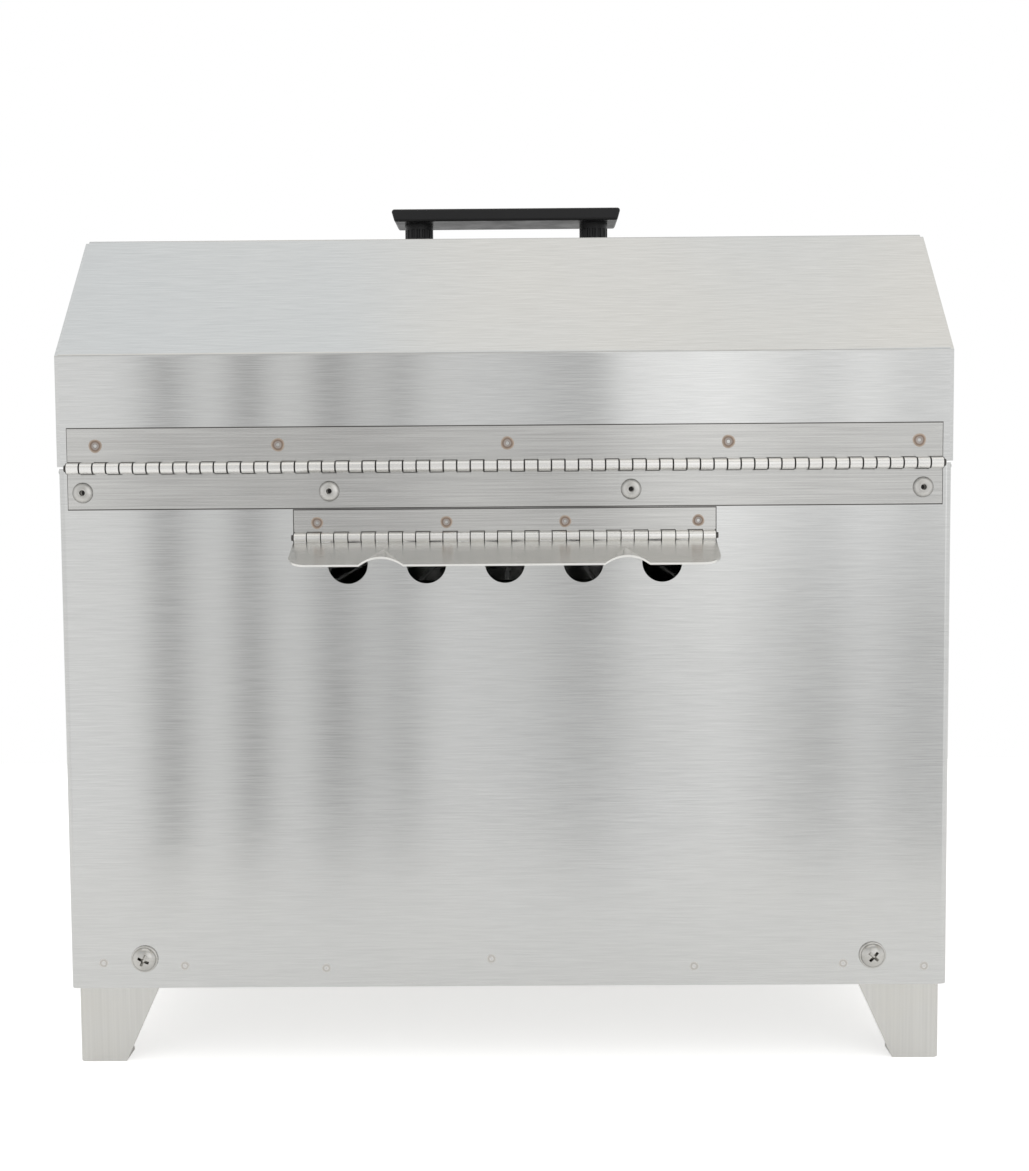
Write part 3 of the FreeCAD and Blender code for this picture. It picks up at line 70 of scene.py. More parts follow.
# Stops are (place, grey or colour)
def ramp(tree, factor, stops):
    node = addNode(tree, "ShaderNodeValToRGB", {"Fac": factor})
    ends = node.color_ramp.elements
    while len(ends) < len(stops):
        ends.new(0.5)
    for end, (place, colour) in zip(ends, stops):
        end.position = place
        end.color = (*colour, 1) if isinstance(colour, tuple) else (colour, colour, colour, 1)
    return node.outputs["Color"]


# Noise on Object coordinates, squeezed along each axis by scale
def noise(tree, scale, size=1.0, detail=2.0, rough=0.5):
    place = addNode(tree, "ShaderNodeTexCoord").outputs["Object"]
    mapped = addNode(tree, "ShaderNodeMapping", {"Vector": place, "Scale": scale})
    texture = addNode(tree, "ShaderNodeTexNoise", {
        "Vector": mapped.outputs["Vector"], "Scale": size, "Detail": detail, "Roughness": rough})
    return texture.outputs["Fac"]


def mixColour(tree, factor, first, second, blend="MIX"):
    node = addNode(tree, "ShaderNodeMix", data_type="RGBA", blend_type=blend)
    for place, value in ((0, factor), (6, first), (7, second)):
        socket = node.inputs[place]
        if isinstance(value, bpy.types.NodeSocket):
            tree.links.new(value, socket)
        else:
            socket.default_value = value if isinstance(value, float) else (*value, 1)
    return node.outputs[2]


def maths(tree, operation, *values):
    node = addNode(tree, "ShaderNodeMath", operation=operation)
    for socket, value in zip(node.inputs, values):
        if isinstance(value, bpy.types.NodeSocket):
            tree.links.new(value, socket)
        else:
            socket.default_value = value
    return node.outputs["Value"]


# Carry a value from one range over to another
def rescale(tree, value, start, end, low, high):
    node = addNode(tree, "ShaderNodeMapRange", {
        "Value": value, "From Min": start, "From Max": end, "To Min": low, "To Max": high})
    return node.outputs["Result"]


def bump(tree, shader, height, strength, distance):
    node = addNode(tree, "ShaderNodeBump", {
        "Height": height, "Strength": strength, "Distance": distance})
    tree.links.new(node.outputs["Normal"], shader.inputs["Normal"])


steelUser = {
    "colour": (0.655, 0.66, 0.655),
    "grainLong": 55.0,    # how slowly the brushing changes along its length, per metre
    "grainFine": 3300.0,  # and across it
    "roughness": 0.125,
    "stretch": 0.96,
    "upright": 0.25,      # turn of the highlight on upright walls
    "handled": (0.93, 0.91, 0.86),
    "leafShadowWidth": 0.55,    # mm of dark line where a leaf lies on the sheet, a painted shadow of the leaf's edge
    "leafShadowTint": (0.10, 0.095, 0.09),
}
hingeUser = {
    "knuckle": 6.36, "joint": 0.75, "reach": 2.8, "proud": 0.5,  # mm
    # The knuckle tint is partly polish from wear and partly painted highlight; the joint tint is
    # painted shade in the gaps between knuckles
    "knucklePolishAndHighlightTint": (0.86, 0.85, 0.83), "jointShadeTint": (0.05, 0.047, 0.045),
}


def objectPlace(tree):
    place = addNode(tree, "ShaderNodeTexCoord").outputs["Object"]
    return addNode(tree, "ShaderNodeSeparateXYZ", {"Vector": place}).outputs


def offCentre(tree, value, low, high):
    return maths(tree, "ABSOLUTE", maths(tree, "SUBTRACT", value, (low + high) / 2))


# 1 in a thin line just outside each plate's outline on an upright wall, 0 elsewhere; the line is
# painted shadow cast by the plate's edge
def seamLines(tree, plates):
    place = objectPlace(tree)
    total = 0.0
    for low, high in plates:
        across = offCentre(tree, place["X"], low[0], high[0])
        upward = offCentre(tree, place["Z"], low[2], high[2])
        outside = maths(tree, "MAXIMUM",
                        maths(tree, "SUBTRACT", across, (high[0] - low[0]) / 2),
                        maths(tree, "SUBTRACT", upward, (high[2] - low[2]) / 2))
        near = maths(tree, "LESS_THAN", outside, steelUser["leafShadowWidth"] * mm)
        level = maths(tree, "GREATER_THAN", place["Y"], low[1] - 1.0 * mm)
        total = maths(tree, "MAXIMUM", maths(tree, "MULTIPLY", near, level), total)
    return total


# Two masks on the hinges: the rolled knuckles, lightened partly as polish from wear and partly as
# painted highlight, and the narrow joints between them, darkened as painted shade
def knuckleMasks(tree, pins):
    place = objectPlace(tree)
    joints, knuckles = 0.0, 0.0
    for low, high in pins:
        length = high[0] - low[0] - 2 * mm
        pitch = length / round(length / (hingeUser["knuckle"] * mm))
        turns = maths(tree, "DIVIDE", maths(tree, "SUBTRACT", place["X"], low[0] + mm), pitch)
        away = maths(tree, "PINGPONG", turns, 0.5)
        joint = maths(tree, "LESS_THAN", away, hingeUser["joint"] * mm / 2 / pitch)
        upward = offCentre(tree, place["Z"], low[2], high[2])
        rolled = maths(tree, "LESS_THAN", upward, hingeUser["reach"] * mm)
        joints = maths(tree, "MAXIMUM", maths(tree, "MULTIPLY", joint, rolled), joints)
        proud = maths(tree, "GREATER_THAN", place["Y"], low[1] + hingeUser["proud"] * mm)
        knuckles = maths(tree, "MAXIMUM", maths(tree, "MULTIPLY", proud, rolled), knuckles)
    return knuckles, joints


# Sheet with fine brushed lines; grain gives the frequency along x, y and z
def brushedSteel(name, grain, colour=None, roughness=None, axis="Z", turn=0.0, contrast=1.0,
                 plates=(), pins=()):
    base = colour or steelUser["colour"]
    rough = roughness or steelUser["roughness"]
    material, tree, shader = newMaterial(name)
    shader.inputs["Metallic"].default_value = 1.0
    shader.inputs["Anisotropic"].default_value = steelUser["stretch"]
    shader.inputs["Anisotropic Rotation"].default_value = turn
    tangent = addNode(tree, "ShaderNodeTangent", direction_type="RADIAL", axis=axis)
    tree.links.new(tangent.outputs["Tangent"], shader.inputs["Tangent"])
    lines = noise(tree, grain, 1.0, 3.0, 0.65)
    streaks = noise(tree, tuple(g * 0.22 for g in grain), 1.0, 4.0, 0.6)
    clouds = noise(tree, (1, 1, 1), 9.0, 3.0, 0.55)
    dark = tuple(c * (1 - 0.10 * contrast) for c in base)
    light = tuple(min(1.0, c * (1 + 0.05 * contrast)) for c in base)
    grained = mixColour(tree, ramp(tree, lines, [(0.32, 0.0), (0.68, 1.0)]), dark, light)
    streaked = mixColour(tree, ramp(tree, streaks, [(0.35, 0.94), (0.62, 1.0)]),
                         tuple(c * 0.9 for c in base), grained)
    handled = mixColour(tree, ramp(tree, clouds, [(0.35, 0.14), (0.7, 0.0)]), streaked,
                        tuple(c * h for c, h in zip(base, steelUser["handled"])))
    # Painted shadow: a dark line on the sheet just outside each leaf
    if plates:
        handled = mixColour(tree, seamLines(tree, plates), handled, steelUser["leafShadowTint"])
    if pins:
        knuckles, joints = knuckleMasks(tree, pins)
        # Painted highlight with polish on the knuckles, painted shade in the joints between them
        handled = mixColour(tree, knuckles, handled, hingeUser["knucklePolishAndHighlightTint"])
        handled = mixColour(tree, joints, handled, hingeUser["jointShadeTint"])
    tree.links.new(handled, shader.inputs["Base Color"])
    spread = rescale(tree, lines, 0.3, 0.7, rough - 0.012, rough + 0.02)
    smudge = rescale(tree, clouds, 0.4, 0.75, 0.0, 0.035)
    tree.links.new(maths(tree, "ADD", spread, smudge), shader.inputs["Roughness"])
    bump(tree, shader, lines, 0.12, 0.00004)
    return material


long, fine = steelUser["grainLong"], steelUser["grainFine"]
uprightTurn = steelUser["upright"]
bodySteel = brushedSteel("bodySteel", (long, long, fine), turn=uprightTurn,
                         plates=[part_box("body_hinge_leaf"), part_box("vent_hinge_leaf")])
lidSteel = brushedSteel("lidSteel", (long, fine * 0.7, fine * 0.7), axis="X",
                        plates=[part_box("lid_hinge_leaf")])
# The vent flap's sheet is given a lighter colour than the lid's, as painted light for its bright
# upward-facing surface
flapLitSteel = brushedSteel("flapLitSteel", (long, fine * 0.7, fine * 0.7), (0.86, 0.855, 0.835), 0.2,
                         axis="X")
hingeSteel = brushedSteel("hingeSteel", (long * 0.4, fine * 0.5, fine * 0.5),
                          (0.60, 0.598, 0.585), 0.2, axis="X", contrast=1.5,
                          pins=[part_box("lid_hinge_pin"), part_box("vent_hinge_pin")])
innerSteel = brushedSteel("innerSteel", (30.0, 30.0, 500.0), (0.56, 0.55, 0.52), 0.36,
                          turn=uprightTurn)


# Legs: paler sheet with upright brushing, a dusty bloom and small handling marks
def paleSteel():
    material, tree, shader = newMaterial("paleSteel")
    shader.inputs["Metallic"].default_value = 1.0
    lines = noise(tree, (900, 900, 12), 1.0, 3.0)
    bloom = noise(tree, (1, 1, 1), 38.0, 4.0, 0.6)
    base = mixColour(tree, lines, (0.60, 0.595, 0.575), (0.72, 0.715, 0.69))
    dusted = mixColour(tree, ramp(tree, bloom, [(0.42, 0.0), (0.75, 0.5)]), base,
                       (0.68, 0.67, 0.62))
    tree.links.new(dusted, shader.inputs["Base Color"])
    tree.links.new(rescale(tree, bloom, 0, 1, 0.3, 0.52), shader.inputs["Roughness"])
    bump(tree, shader, lines, 0.25, 0.00005)
    return material


# Turned and polished stainless with faint ring marks and hairline scratches
def brightSteel(name, colour, rough, marks=420.0):
    material, tree, shader = newMaterial(name)
    shader.inputs["Metallic"].default_value = 1.0
    scratch = noise(tree, (marks, marks * 0.3, marks), 1.0, 4.0, 0.7)
    soot = noise(tree, (1, 1, 1), 160.0, 3.0)
    shade = mixColour(tree, ramp(tree, soot, [(0.4, 0.0), (0.8, 0.35)]), colour,
                      tuple(c * 0.6 for c in colour))
    tree.links.new(shade, shader.inputs["Base Color"])
    spread = rescale(tree, scratch, 0.3, 0.7, rough * 0.6, rough * 1.5)
    tree.links.new(spread, shader.inputs["Roughness"])
    bump(tree, shader, scratch, 0.12, 0.00004)
    return material


# Moulded plastic with a fine spark-eroded grain and a little dust
def plastic(name, colour, rough, coat, texture, depth, gloss):
    material, tree, shader = newMaterial(name)
    shader.inputs["Coat Weight"].default_value = coat
    shader.inputs["Coat Roughness"].default_value = 0.08
    shader.inputs["Specular IOR Level"].default_value = gloss
    grain = noise(tree, (1, 1, 1), texture, 3.0, 0.6)
    dust = noise(tree, (1, 1, 1), 55.0, 5.0, 0.65)
    shade = mixColour(tree, ramp(tree, dust, [(0.5, 0.0), (0.85, 0.3)]), colour,
                      tuple(c * 2.0 + 0.012 for c in colour))
    tree.links.new(shade, shader.inputs["Base Color"])
    spread = rescale(tree, dust, 0.35, 0.75, rough, rough + 0.16)
    tree.links.new(spread, shader.inputs["Roughness"])
    bump(tree, shader, grain, depth, 0.0001)
    return material


# Heater sheath: dark oxide with straw and blue temper colours in patches
def sootedRod():
    material, tree, shader = newMaterial("sootedRod")
    shader.inputs["Metallic"].default_value = 0.9
    patches = noise(tree, (1, 1, 1), 26.0, 4.0, 0.6)
    colour = ramp(tree, patches, [(0.30, (0.10, 0.085, 0.075)), (0.48, (0.24, 0.17, 0.12)),
                                  (0.60, (0.15, 0.15, 0.19)), (0.75, (0.30, 0.27, 0.24))])
    tree.links.new(colour, shader.inputs["Base Color"])
    tree.links.new(rescale(tree, patches, 0, 1, 0.35, 0.7), shader.inputs["Roughness"])
    bump(tree, shader, noise(tree, (1, 1, 1), 900.0), 0.3, 0.0001)
    return material


def paint(name, colour, rough):
    material, tree, shader = newMaterial(name)
    flecks = noise(tree, (1, 1, 1), 420.0, 2.0)
    shade = mixColour(tree, ramp(tree, flecks, [(0.35, 0.0), (0.8, 0.3)]), colour,
                      tuple(c * 0.82 for c in colour))
    tree.links.new(shade, shader.inputs["Base Color"])
    shader.inputs["Roughness"].default_value = rough
    bump(tree, shader, flecks, 0.1, 0.00005)
    return material


def clearPane(name, colour, rough, through):
    material, tree, shader = newMaterial(name)
    shader.inputs["Transmission Weight"].default_value = through
    shader.inputs["IOR"].default_value = 1.46
    film = noise(tree, (1, 1, 1), 70.0, 4.0)
    shade = mixColour(tree, film, colour, tuple(min(1.0, c * 0.94) for c in colour))
    tree.links.new(shade, shader.inputs["Base Color"])
    tree.links.new(rescale(tree, film, 0, 1, rough, rough + 0.06), shader.inputs["Roughness"])
    return material


# Colours in rings, heat colours on the welds and painted shade on the rivets: the ring attribute
# runs from 0 at the middle to 1 at the rim
def weldTint(name, stops, metal=0.85, rough=0.34):
    material, tree, shader = newMaterial(name)
    ring = addNode(tree, "ShaderNodeAttribute", attribute_name="ring").outputs["Fac"]
    wander = noise(tree, (1, 1, 1), 700.0, 3.0)
    shifted = maths(tree, "MULTIPLY_ADD", wander, 0.16, ring)
    tree.links.new(ramp(tree, shifted, stops), shader.inputs["Base Color"])
    shader.inputs["Metallic"].default_value = metal
    shader.inputs["Roughness"].default_value = rough
    return material


legSteel = paleSteel()
boltSteel = brightSteel("boltSteel", (0.60, 0.59, 0.565), 0.2)
# Near-black pins: painted shade seen through the gaps between the knuckles
pinShadeSteel = brightSteel("pinShadeSteel", (0.10, 0.095, 0.09), 0.4)
wireChrome = brightSteel("wireChrome", (0.72, 0.72, 0.71), 0.14, 200.0)
gripPlastic = plastic("gripPlastic", (0.006, 0.006, 0.007), 0.3, 0.0, 1500.0, 0.1, 0.35)
mattePlastic = plastic("mattePlastic", (0.016, 0.016, 0.017), 0.5, 0.0, 1900.0, 0.3, 0.5)
sheathSteel = sootedRod()
dialPaint = paint("dialPaint", (0.86, 0.855, 0.82), 0.42)
inkPaint = paint("inkPaint", (0.03, 0.03, 0.032), 0.5)
dialGlass = clearPane("dialGlass", (0.97, 0.98, 0.98), 0.0, 1.0)
amberLens = clearPane("amberLens", (0.85, 0.32, 0.05), 0.12, 0.55)
hingeWeld = weldTint("hingeWeld", [
    (0.16, (0.70, 0.68, 0.65)), (0.34, (0.20, 0.17, 0.155)), (0.50, (0.44, 0.40, 0.37)),
    (0.76, (0.22, 0.155, 0.12)), (0.98, (0.46, 0.38, 0.31))])
floorWeld = weldTint("floorWeld", [
    (0.10, (0.60, 0.59, 0.57)), (0.45, (0.72, 0.71, 0.69)), (0.72, (0.50, 0.48, 0.45)),
    (1.0, (0.66, 0.65, 0.62))])
# Rivets: near-black painted shade in the mandrel hole and a darker painted shade at the head's rim
rivetSteelAndShade = weldTint("rivetSteelAndShade", [
    (0.0, (0.02, 0.02, 0.02)), (0.27, (0.035, 0.034, 0.033)), (0.34, (0.50, 0.49, 0.47)),
    (0.80, (0.62, 0.61, 0.585)), (1.0, (0.36, 0.355, 0.34))], 1.0, 0.26)
print("materials made:", len(bpy.data.materials))

finishes = {
    bodySteel: ["body_wrap", "front_panel", "lid_gable_left", "lid_gable_right",
                "control_housing", "drawer_front"],
    lidSteel: ["lid_wrap"],
    flapLitSteel: ["vent_flap"],
    hingeSteel: ["body_hinge_leaf", "lid_hinge_leaf", "vent_hinge_leaf"],
    pinShadeSteel: ["lid_hinge_pin", "vent_hinge_pin"],
    legSteel: ["leg_rear_left", "leg_rear_right", "leg_front_left", "leg_front_right"],
    innerSteel: ["floor_pan", "element_flange", "element_bracket", "drawer_runner_left",
                 "drawer_runner_right", "drip_pan", "rack_left", "rack_right", "chip_tray"],
    boltSteel: ["leg_nuts", "handle_screws", "keeper_studs", "latch_pivots", "latch_hook_left",
                "latch_hook_right", "thermometer_case", "thermometer_nut", "drawer_knob",
                "leg_screws", "hinge_rivets", "housing_screws"],
    gripPlastic: ["handle_bar", "handle_spacer_left", "handle_spacer_right", "thermostat_knob"],
    mattePlastic: ["power_inlet", "switch_frame", "switch_rocker", "thermostat_body"],
    sheathSteel: ["heating_element", "thermostat_bulb"],
    wireChrome: ["lower_grate", "upper_grate"],
    dialPaint: ["thermometer_dial"],
    inkPaint: ["thermometer_pointer"],
    dialGlass: ["thermometer_glass"],
    amberLens: ["pilot_lamp"],
}
for material, names in finishes.items():
    for name in names:
        for spot in nodes[name].material_slots:
            spot.material = material


# Meshes and repeated pieces

# Build an object at the origin from a function that fills a bmesh
def meshObject(name, build):
    mesh = bpy.data.meshes.new(name)
    bm = bmesh.new()
    build(bm)
    bmesh.ops.remove_doubles(bm, verts=bm.verts, dist=1e-6)
    bmesh.ops.recalc_face_normals(bm, faces=bm.faces)
    bm.to_mesh(mesh)
    bm.free()
    thing = bpy.data.objects.new(name, mesh)
    bpy.context.scene.collection.objects.link(thing)
    return thing


# Soft shading with the creases past the limit left sharp
def smooth(thing, limit=35):
    mesh = thing.data
    mesh.shade_smooth()
    bm = bmesh.new()
    bm.from_mesh(mesh)
    for edge in bm.edges:
        edge.smooth = len(edge.link_faces) == 2 and edge.calc_face_angle(0) < math.radians(limit)
    bm.to_mesh(mesh)
    bm.free()


# Spin a closed half profile of (radius, height) in mm about Z
def turned(name, profile, steps=40):
    def build(bm):
        verts = [bm.verts.new((r * mm, 0, z * mm)) for r, z in profile]
        edges = [bm.edges.new(pair) for pair in zip(verts, verts[1:])]
        bmesh.ops.spin(bm, geom=verts + edges, axis=(0, 0, 1), cent=(0, 0, 0), dvec=(0, 0, 0),
                       angle=math.tau, steps=steps)
        layer = bm.verts.layers.float.new("ring")
        widest = max(r for r, _ in profile) * mm
        for vert in bm.verts:
            vert[layer] = vert.co.xy.length / widest
    return meshObject(name, build)


# Cut one mesh out of another and drop the cutter
def carve(thing, cutter):
    modifier = thing.modifiers.new("cut", "BOOLEAN")
    modifier.object = cutter
    modifier.solver = "EXACT"
    graph = bpy.context.evaluated_depsgraph_get()
    mesh = bpy.data.meshes.new_from_object(thing.evaluated_get(graph))
    thing.modifiers.clear()
    thing.data = mesh
    bpy.data.objects.remove(cutter)
    return thing


# Stand one fastener on each point, turned about its own axis by chance
def fastenerTree():
    tree = bpy.data.node_groups.new("fasteners", "GeometryNodeTree")
    face = tree.interface
    face.new_socket("Geometry", in_out="INPUT", socket_type="NodeSocketGeometry")
    face.new_socket("Fastener", in_out="INPUT", socket_type="NodeSocketObject")
    face.new_socket("Size", in_out="INPUT", socket_type="NodeSocketFloat").default_value = 1.0
    face.new_socket("Turn", in_out="INPUT", socket_type="NodeSocketFloat").default_value = 0.0
    face.new_socket("Seed", in_out="INPUT", socket_type="NodeSocketInt").default_value = 3
    face.new_socket("Finish", in_out="INPUT", socket_type="NodeSocketMaterial")
    face.new_socket("Geometry", in_out="OUTPUT", socket_type="NodeSocketGeometry")
    given = addNode(tree, "NodeGroupInput").outputs
    piece = addNode(tree, "GeometryNodeObjectInfo", {"Object": given["Fastener"]})
    facing = addNode(tree, "GeometryNodeInputNamedAttribute", {"Name": "facing"},
                     data_type="FLOAT_VECTOR")
    aimed = addNode(tree, "FunctionNodeAlignRotationToVector", {"Vector": facing.outputs[0]},
                    axis="Z", pivot_axis="AUTO")
    chance = addNode(tree, "FunctionNodeRandomValue", data_type="FLOAT")
    tree.links.new(given["Turn"], chance.inputs[3])
    tree.links.new(given["Seed"], chance.inputs["Seed"])
    roll = addNode(tree, "GeometryNodeInputNamedAttribute", {"Name": "roll"}, data_type="FLOAT")
    spin = addNode(tree, "ShaderNodeCombineXYZ",
                   {"Z": maths(tree, "ADD", chance.outputs[1], roll.outputs[0])})
    rotated = addNode(tree, "FunctionNodeRotateRotation", rotation_space="LOCAL")
    tree.links.new(aimed.outputs["Rotation"], rotated.inputs[0])
    tree.links.new(spin.outputs["Vector"], rotated.inputs[1])
    placed = addNode(tree, "GeometryNodeInstanceOnPoints", {
        "Points": given["Geometry"], "Instance": piece.outputs["Geometry"],
        "Rotation": rotated.outputs["Rotation"], "Scale": given["Size"]})
    real = addNode(tree, "GeometryNodeRealizeInstances", {"Geometry": placed.outputs["Instances"]})
    dressed = addNode(tree, "GeometryNodeSetMaterial", {
        "Geometry": real.outputs["Geometry"], "Material": given["Finish"]})
    addNode(tree, "NodeGroupOutput", {"Geometry": dressed.outputs["Geometry"]})
    return tree


fasteners = fastenerTree()


# Run a geometry tree on an object and keep the result as its plain mesh
def growTree(thing, tree, **inputs):
    modifier = thing.modifiers.new("grow", "NODES")
    modifier.node_group = tree
    sockets = {s.name: s.identifier for s in tree.interface.items_tree if s.in_out == "INPUT"}
    for name, value in inputs.items():
        modifier[sockets[name]] = value
    graph = bpy.context.evaluated_depsgraph_get()
    graph.update()
    mesh = bpy.data.meshes.new_from_object(thing.evaluated_get(graph))
    thing.modifiers.clear()
    thing.data = mesh
    return thing


# Spots are (place, facing, roll); the fastener's own Z points along facing
def repeat(name, fastener, spots, finish, turn=0.0, seed=3):
    points = meshObject(name, lambda bm: None)
    points.data.from_pydata([spot[0] for spot in spots], [], [])
    for kind, word in (("FLOAT_VECTOR", "facing"), ("FLOAT", "roll")):
        points.data.attributes.new(word, kind, "POINT")
    for i, spot in enumerate(spots):
        points.data.attributes["facing"].data[i].vector = spot[1]
        points.data.attributes["roll"].data[i].value = spot[2] if len(spot) > 2 else 0.0
    growTree(points, fasteners, Fastener=fastener, Turn=turn, Seed=seed, Finish=finish)
    bpy.data.objects.remove(fastener)
    if not points.data.materials:
        points.data.materials.append(finish)
    smooth(points)
    return points


def give(piece, body, replaced=()):
    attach(piece, body)
    if replaced:
        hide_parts(*replaced)
    return piece


rear, front = Vector((0, 1, 0)), Vector((0, -1, 0))
anyTurn, crossTurn = 6.28, 1.4  # radians that chance may turn a round head, or a cross recess
wrapLow, wrapHigh = (Vector(c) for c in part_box("body_wrap"))
leafWall = 1.0 * mm
rearFace = wrapHigh.y
leafFace = rearFace + leafWall

# Fasteners on the back

rivetUser = {  # mm
    "headRadius": 4.9, "dome": 1.65, "hole": 1.35, "tail": 3.2, "shank": 2.4, "mandrel": 0.85,
    "across": (-198, -60, 83, 200), "drop": 11.5,
}


def blindRivet():
    r, dome, hole = rivetUser["headRadius"], rivetUser["dome"], rivetUser["hole"]
    arc = [(r * math.cos(a), 0.25 + (dome - 0.25) * math.sin(a))
           for a in (math.radians(d) for d in range(0, 66, 11))]
    lip = [(hole + 0.75, dome + 0.02), (hole + 0.45, dome + 0.05), (hole, dome - 0.2)]
    shank, tail = rivetUser["shank"], rivetUser["tail"]
    profile = [(0, -1.2), (0.6, -1.0), (rivetUser["mandrel"], -1.4), (hole - 0.05, -1.5),
               (hole, -1.3)]
    profile += lip[::-1] + arc[::-1] + [(r, 0), (shank, 0), (shank, -2), (tail, -2),
                                        (tail - 0.3, -4.2), (0, -4.5)]
    return turned("rivetPattern", profile)


rivetZ = wrapHigh.z - rivetUser["drop"] * mm
rivetSpots = [((x * mm, leafFace, rivetZ), rear) for x in rivetUser["across"]]
rivets = repeat("rearRivets", blindRivet(), rivetSpots, rivetSteelAndShade, turn=anyTurn, seed=5)
give(rivets, "body", ["hinge_rivets"])

screwUser = {  # mm
    "headRadius": 6.5, "head": 4.0, "recess": 3.3, "wing": 0.62, "shank": 3.0, "length": 11,
}


# Phillips pan head: a washer-like rim under a crown, with a tapered cross recess
def panScrew(name, size, length):
    r, h, shank = (screwUser[k] * size for k in ("headRadius", "head", "shank"))
    crown = [(r * 0.90 * math.cos(a), h * (0.28 + 0.72 * math.sin(a)))
             for a in (math.radians(d) for d in range(0, 91, 10))]
    profile = [(0, -length), (shank, -length), (shank, 0), (r - 0.2, 0), (r, 0.25 * size),
               (r, 0.7 * size), (r - 0.15, 0.95 * size)] + crown[:-1] + [(0, h)]
    body = turned(name, profile, 48)
    reach, wing = screwUser["recess"] * size, screwUser["wing"] * size
    low, high = h * 0.25, h + 1

    def wingCut(bm, turn):
        rings = []
        for share, spread, z in ((0.45, 0.6, low), (1.1, 1.3, high)):
            corners = [(sx * reach * share, sy * wing * spread)
                       for sx, sy in ((-1, -1), (1, -1), (1, 1), (-1, 1))]
            rings.append([bm.verts.new((x * mm, y * mm, z * mm)) for x, y in
                          ([(-y, x) for x, y in corners] if turn else corners)])
        for i in range(4):
            j = (i + 1) % 4
            bm.faces.new((rings[0][i], rings[0][j], rings[1][j], rings[1][i]))
        bm.faces.new(rings[0][::-1])
        bm.faces.new(rings[1])

    for turn in (0, 1):
        carve(body, meshObject("crossRecess", lambda bm: wingCut(bm, turn)))
    return body


headRadius = screwUser["headRadius"] * mm
legScrewHigh = Vector(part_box("leg_screws")[1])
screwX = legScrewHigh.x - headRadius
screwZ = legScrewHigh.z - headRadius
legSpots = [((side * screwX, y, screwZ), facing) for side in (-1, 1)
            for y, facing in ((rearFace, rear), (wrapLow.y, front))]
legScrews = repeat("legScrews", panScrew("legScrewPattern", 1.0, screwUser["length"]),
                   legSpots, boltSteel, turn=crossTurn, seed=11)
give(legScrews, "body", ["leg_screws"])

# Spot welds: thin tinted rings pressed into the leaves and the lower edge

weldUser = {  # mm; places along X, and for the floor pan also up from the lower edge
    "hingeRadius": 3.15, "ventRadius": 2.835, "floorRadius": 2.2, "proud": 0.10, "skirt": 0.15,
    "hingeDimple": 0.3, "floorDimple": 0.2, "wobble": 0.03, "steps": 28,
    "lidRise": 10.6, "ventDrop": 6,
    "lidAcross": (-196, -106, -1.6, 107, 193.6),
    "ventAcross": (-91.8, -28.7, 27.6, 89),
    "floorSpots": ((196, 12.4), (156.6, 10.9), (88, 9.4), (8, 13.6), (-90, 9.4), (-162, 10.4),
                   (-201, 8.9)),
}


# A shallow dished disc whose ring attribute grows from the middle to the rim
def weldDisc(name, radius, dimple):
    proud = weldUser["proud"]
    rings = [(0.0, -dimple * 0.2), (0.22, -dimple * 0.1), (0.36, proud * 0.5), (0.55, proud),
             (0.8, proud * 0.9), (1.0, 0.02)]

    def build(bm):
        layer = bm.verts.layers.float.new("ring")
        steps = weldUser["steps"]
        loops = []
        for share, height in rings[1:]:
            loop = []
            for i in range(steps):
                a = math.tau * i / steps
                wobble = 1 + weldUser["wobble"] * math.sin(3 * a + 0.7) * share
                r = share * radius * mm * wobble
                vert = bm.verts.new((r * math.cos(a), r * math.sin(a), height * mm))
                vert[layer] = share
                loop.append(vert)
            loops.append(loop)
        middle = bm.verts.new((0, 0, rings[0][1] * mm))
        middle[layer] = 0.0
        under = []
        for i in range(steps):
            a = math.tau * i / steps
            vert = bm.verts.new((radius * mm * math.cos(a), radius * mm * math.sin(a),
                                 -weldUser["skirt"] * mm))
            vert[layer] = 1.0
            under.append(vert)
        for i in range(steps):
            j = (i + 1) % steps
            bm.faces.new((middle, loops[0][i], loops[0][j]))
            for inner, outer in zip(loops, loops[1:]):
                bm.faces.new((inner[i], outer[i], outer[j], inner[j]))
            bm.faces.new((loops[-1][i], under[i], under[j], loops[-1][j]))
        bm.faces.new(under[::-1])
    return meshObject(name, build)


lidWeldZ = wrapHigh.z + weldUser["lidRise"] * mm
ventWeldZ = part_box("vent_hinge_leaf")[1][2] - weldUser["ventDrop"] * mm
lidWeldSpots = [((x * mm, leafFace, lidWeldZ), rear) for x in weldUser["lidAcross"]]
ventWeldSpots = [((x * mm, leafFace, ventWeldZ), rear) for x in weldUser["ventAcross"]]
floorWeldSpots = [((x * mm, rearFace, wrapLow.z + z * mm), rear)
                  for x, z in weldUser["floorSpots"]]
for name, radius, dimple, spots, tint, seed, body, slotName in (
        ("lidLeafWelds", "hingeRadius", "hingeDimple", lidWeldSpots, hingeWeld, 2, "lid",
         "hinge_steel"),
        ("ventLeafWelds", "ventRadius", "hingeDimple", ventWeldSpots, hingeWeld, 4, "body",
         "hinge_steel"),
        ("floorPanWelds", "floorRadius", "floorDimple", floorWeldSpots, floorWeld, 6, "body",
         "brushed_sheet")):
    disc = weldDisc("weldPattern", weldUser[radius], weldUser[dimple])
    give(repeat(name, disc, spots, tint, turn=anyTurn, seed=seed), body)
print("rear fasteners and welds made")

# Control knob: a skirt under a fluted grip, with a painted pointer line

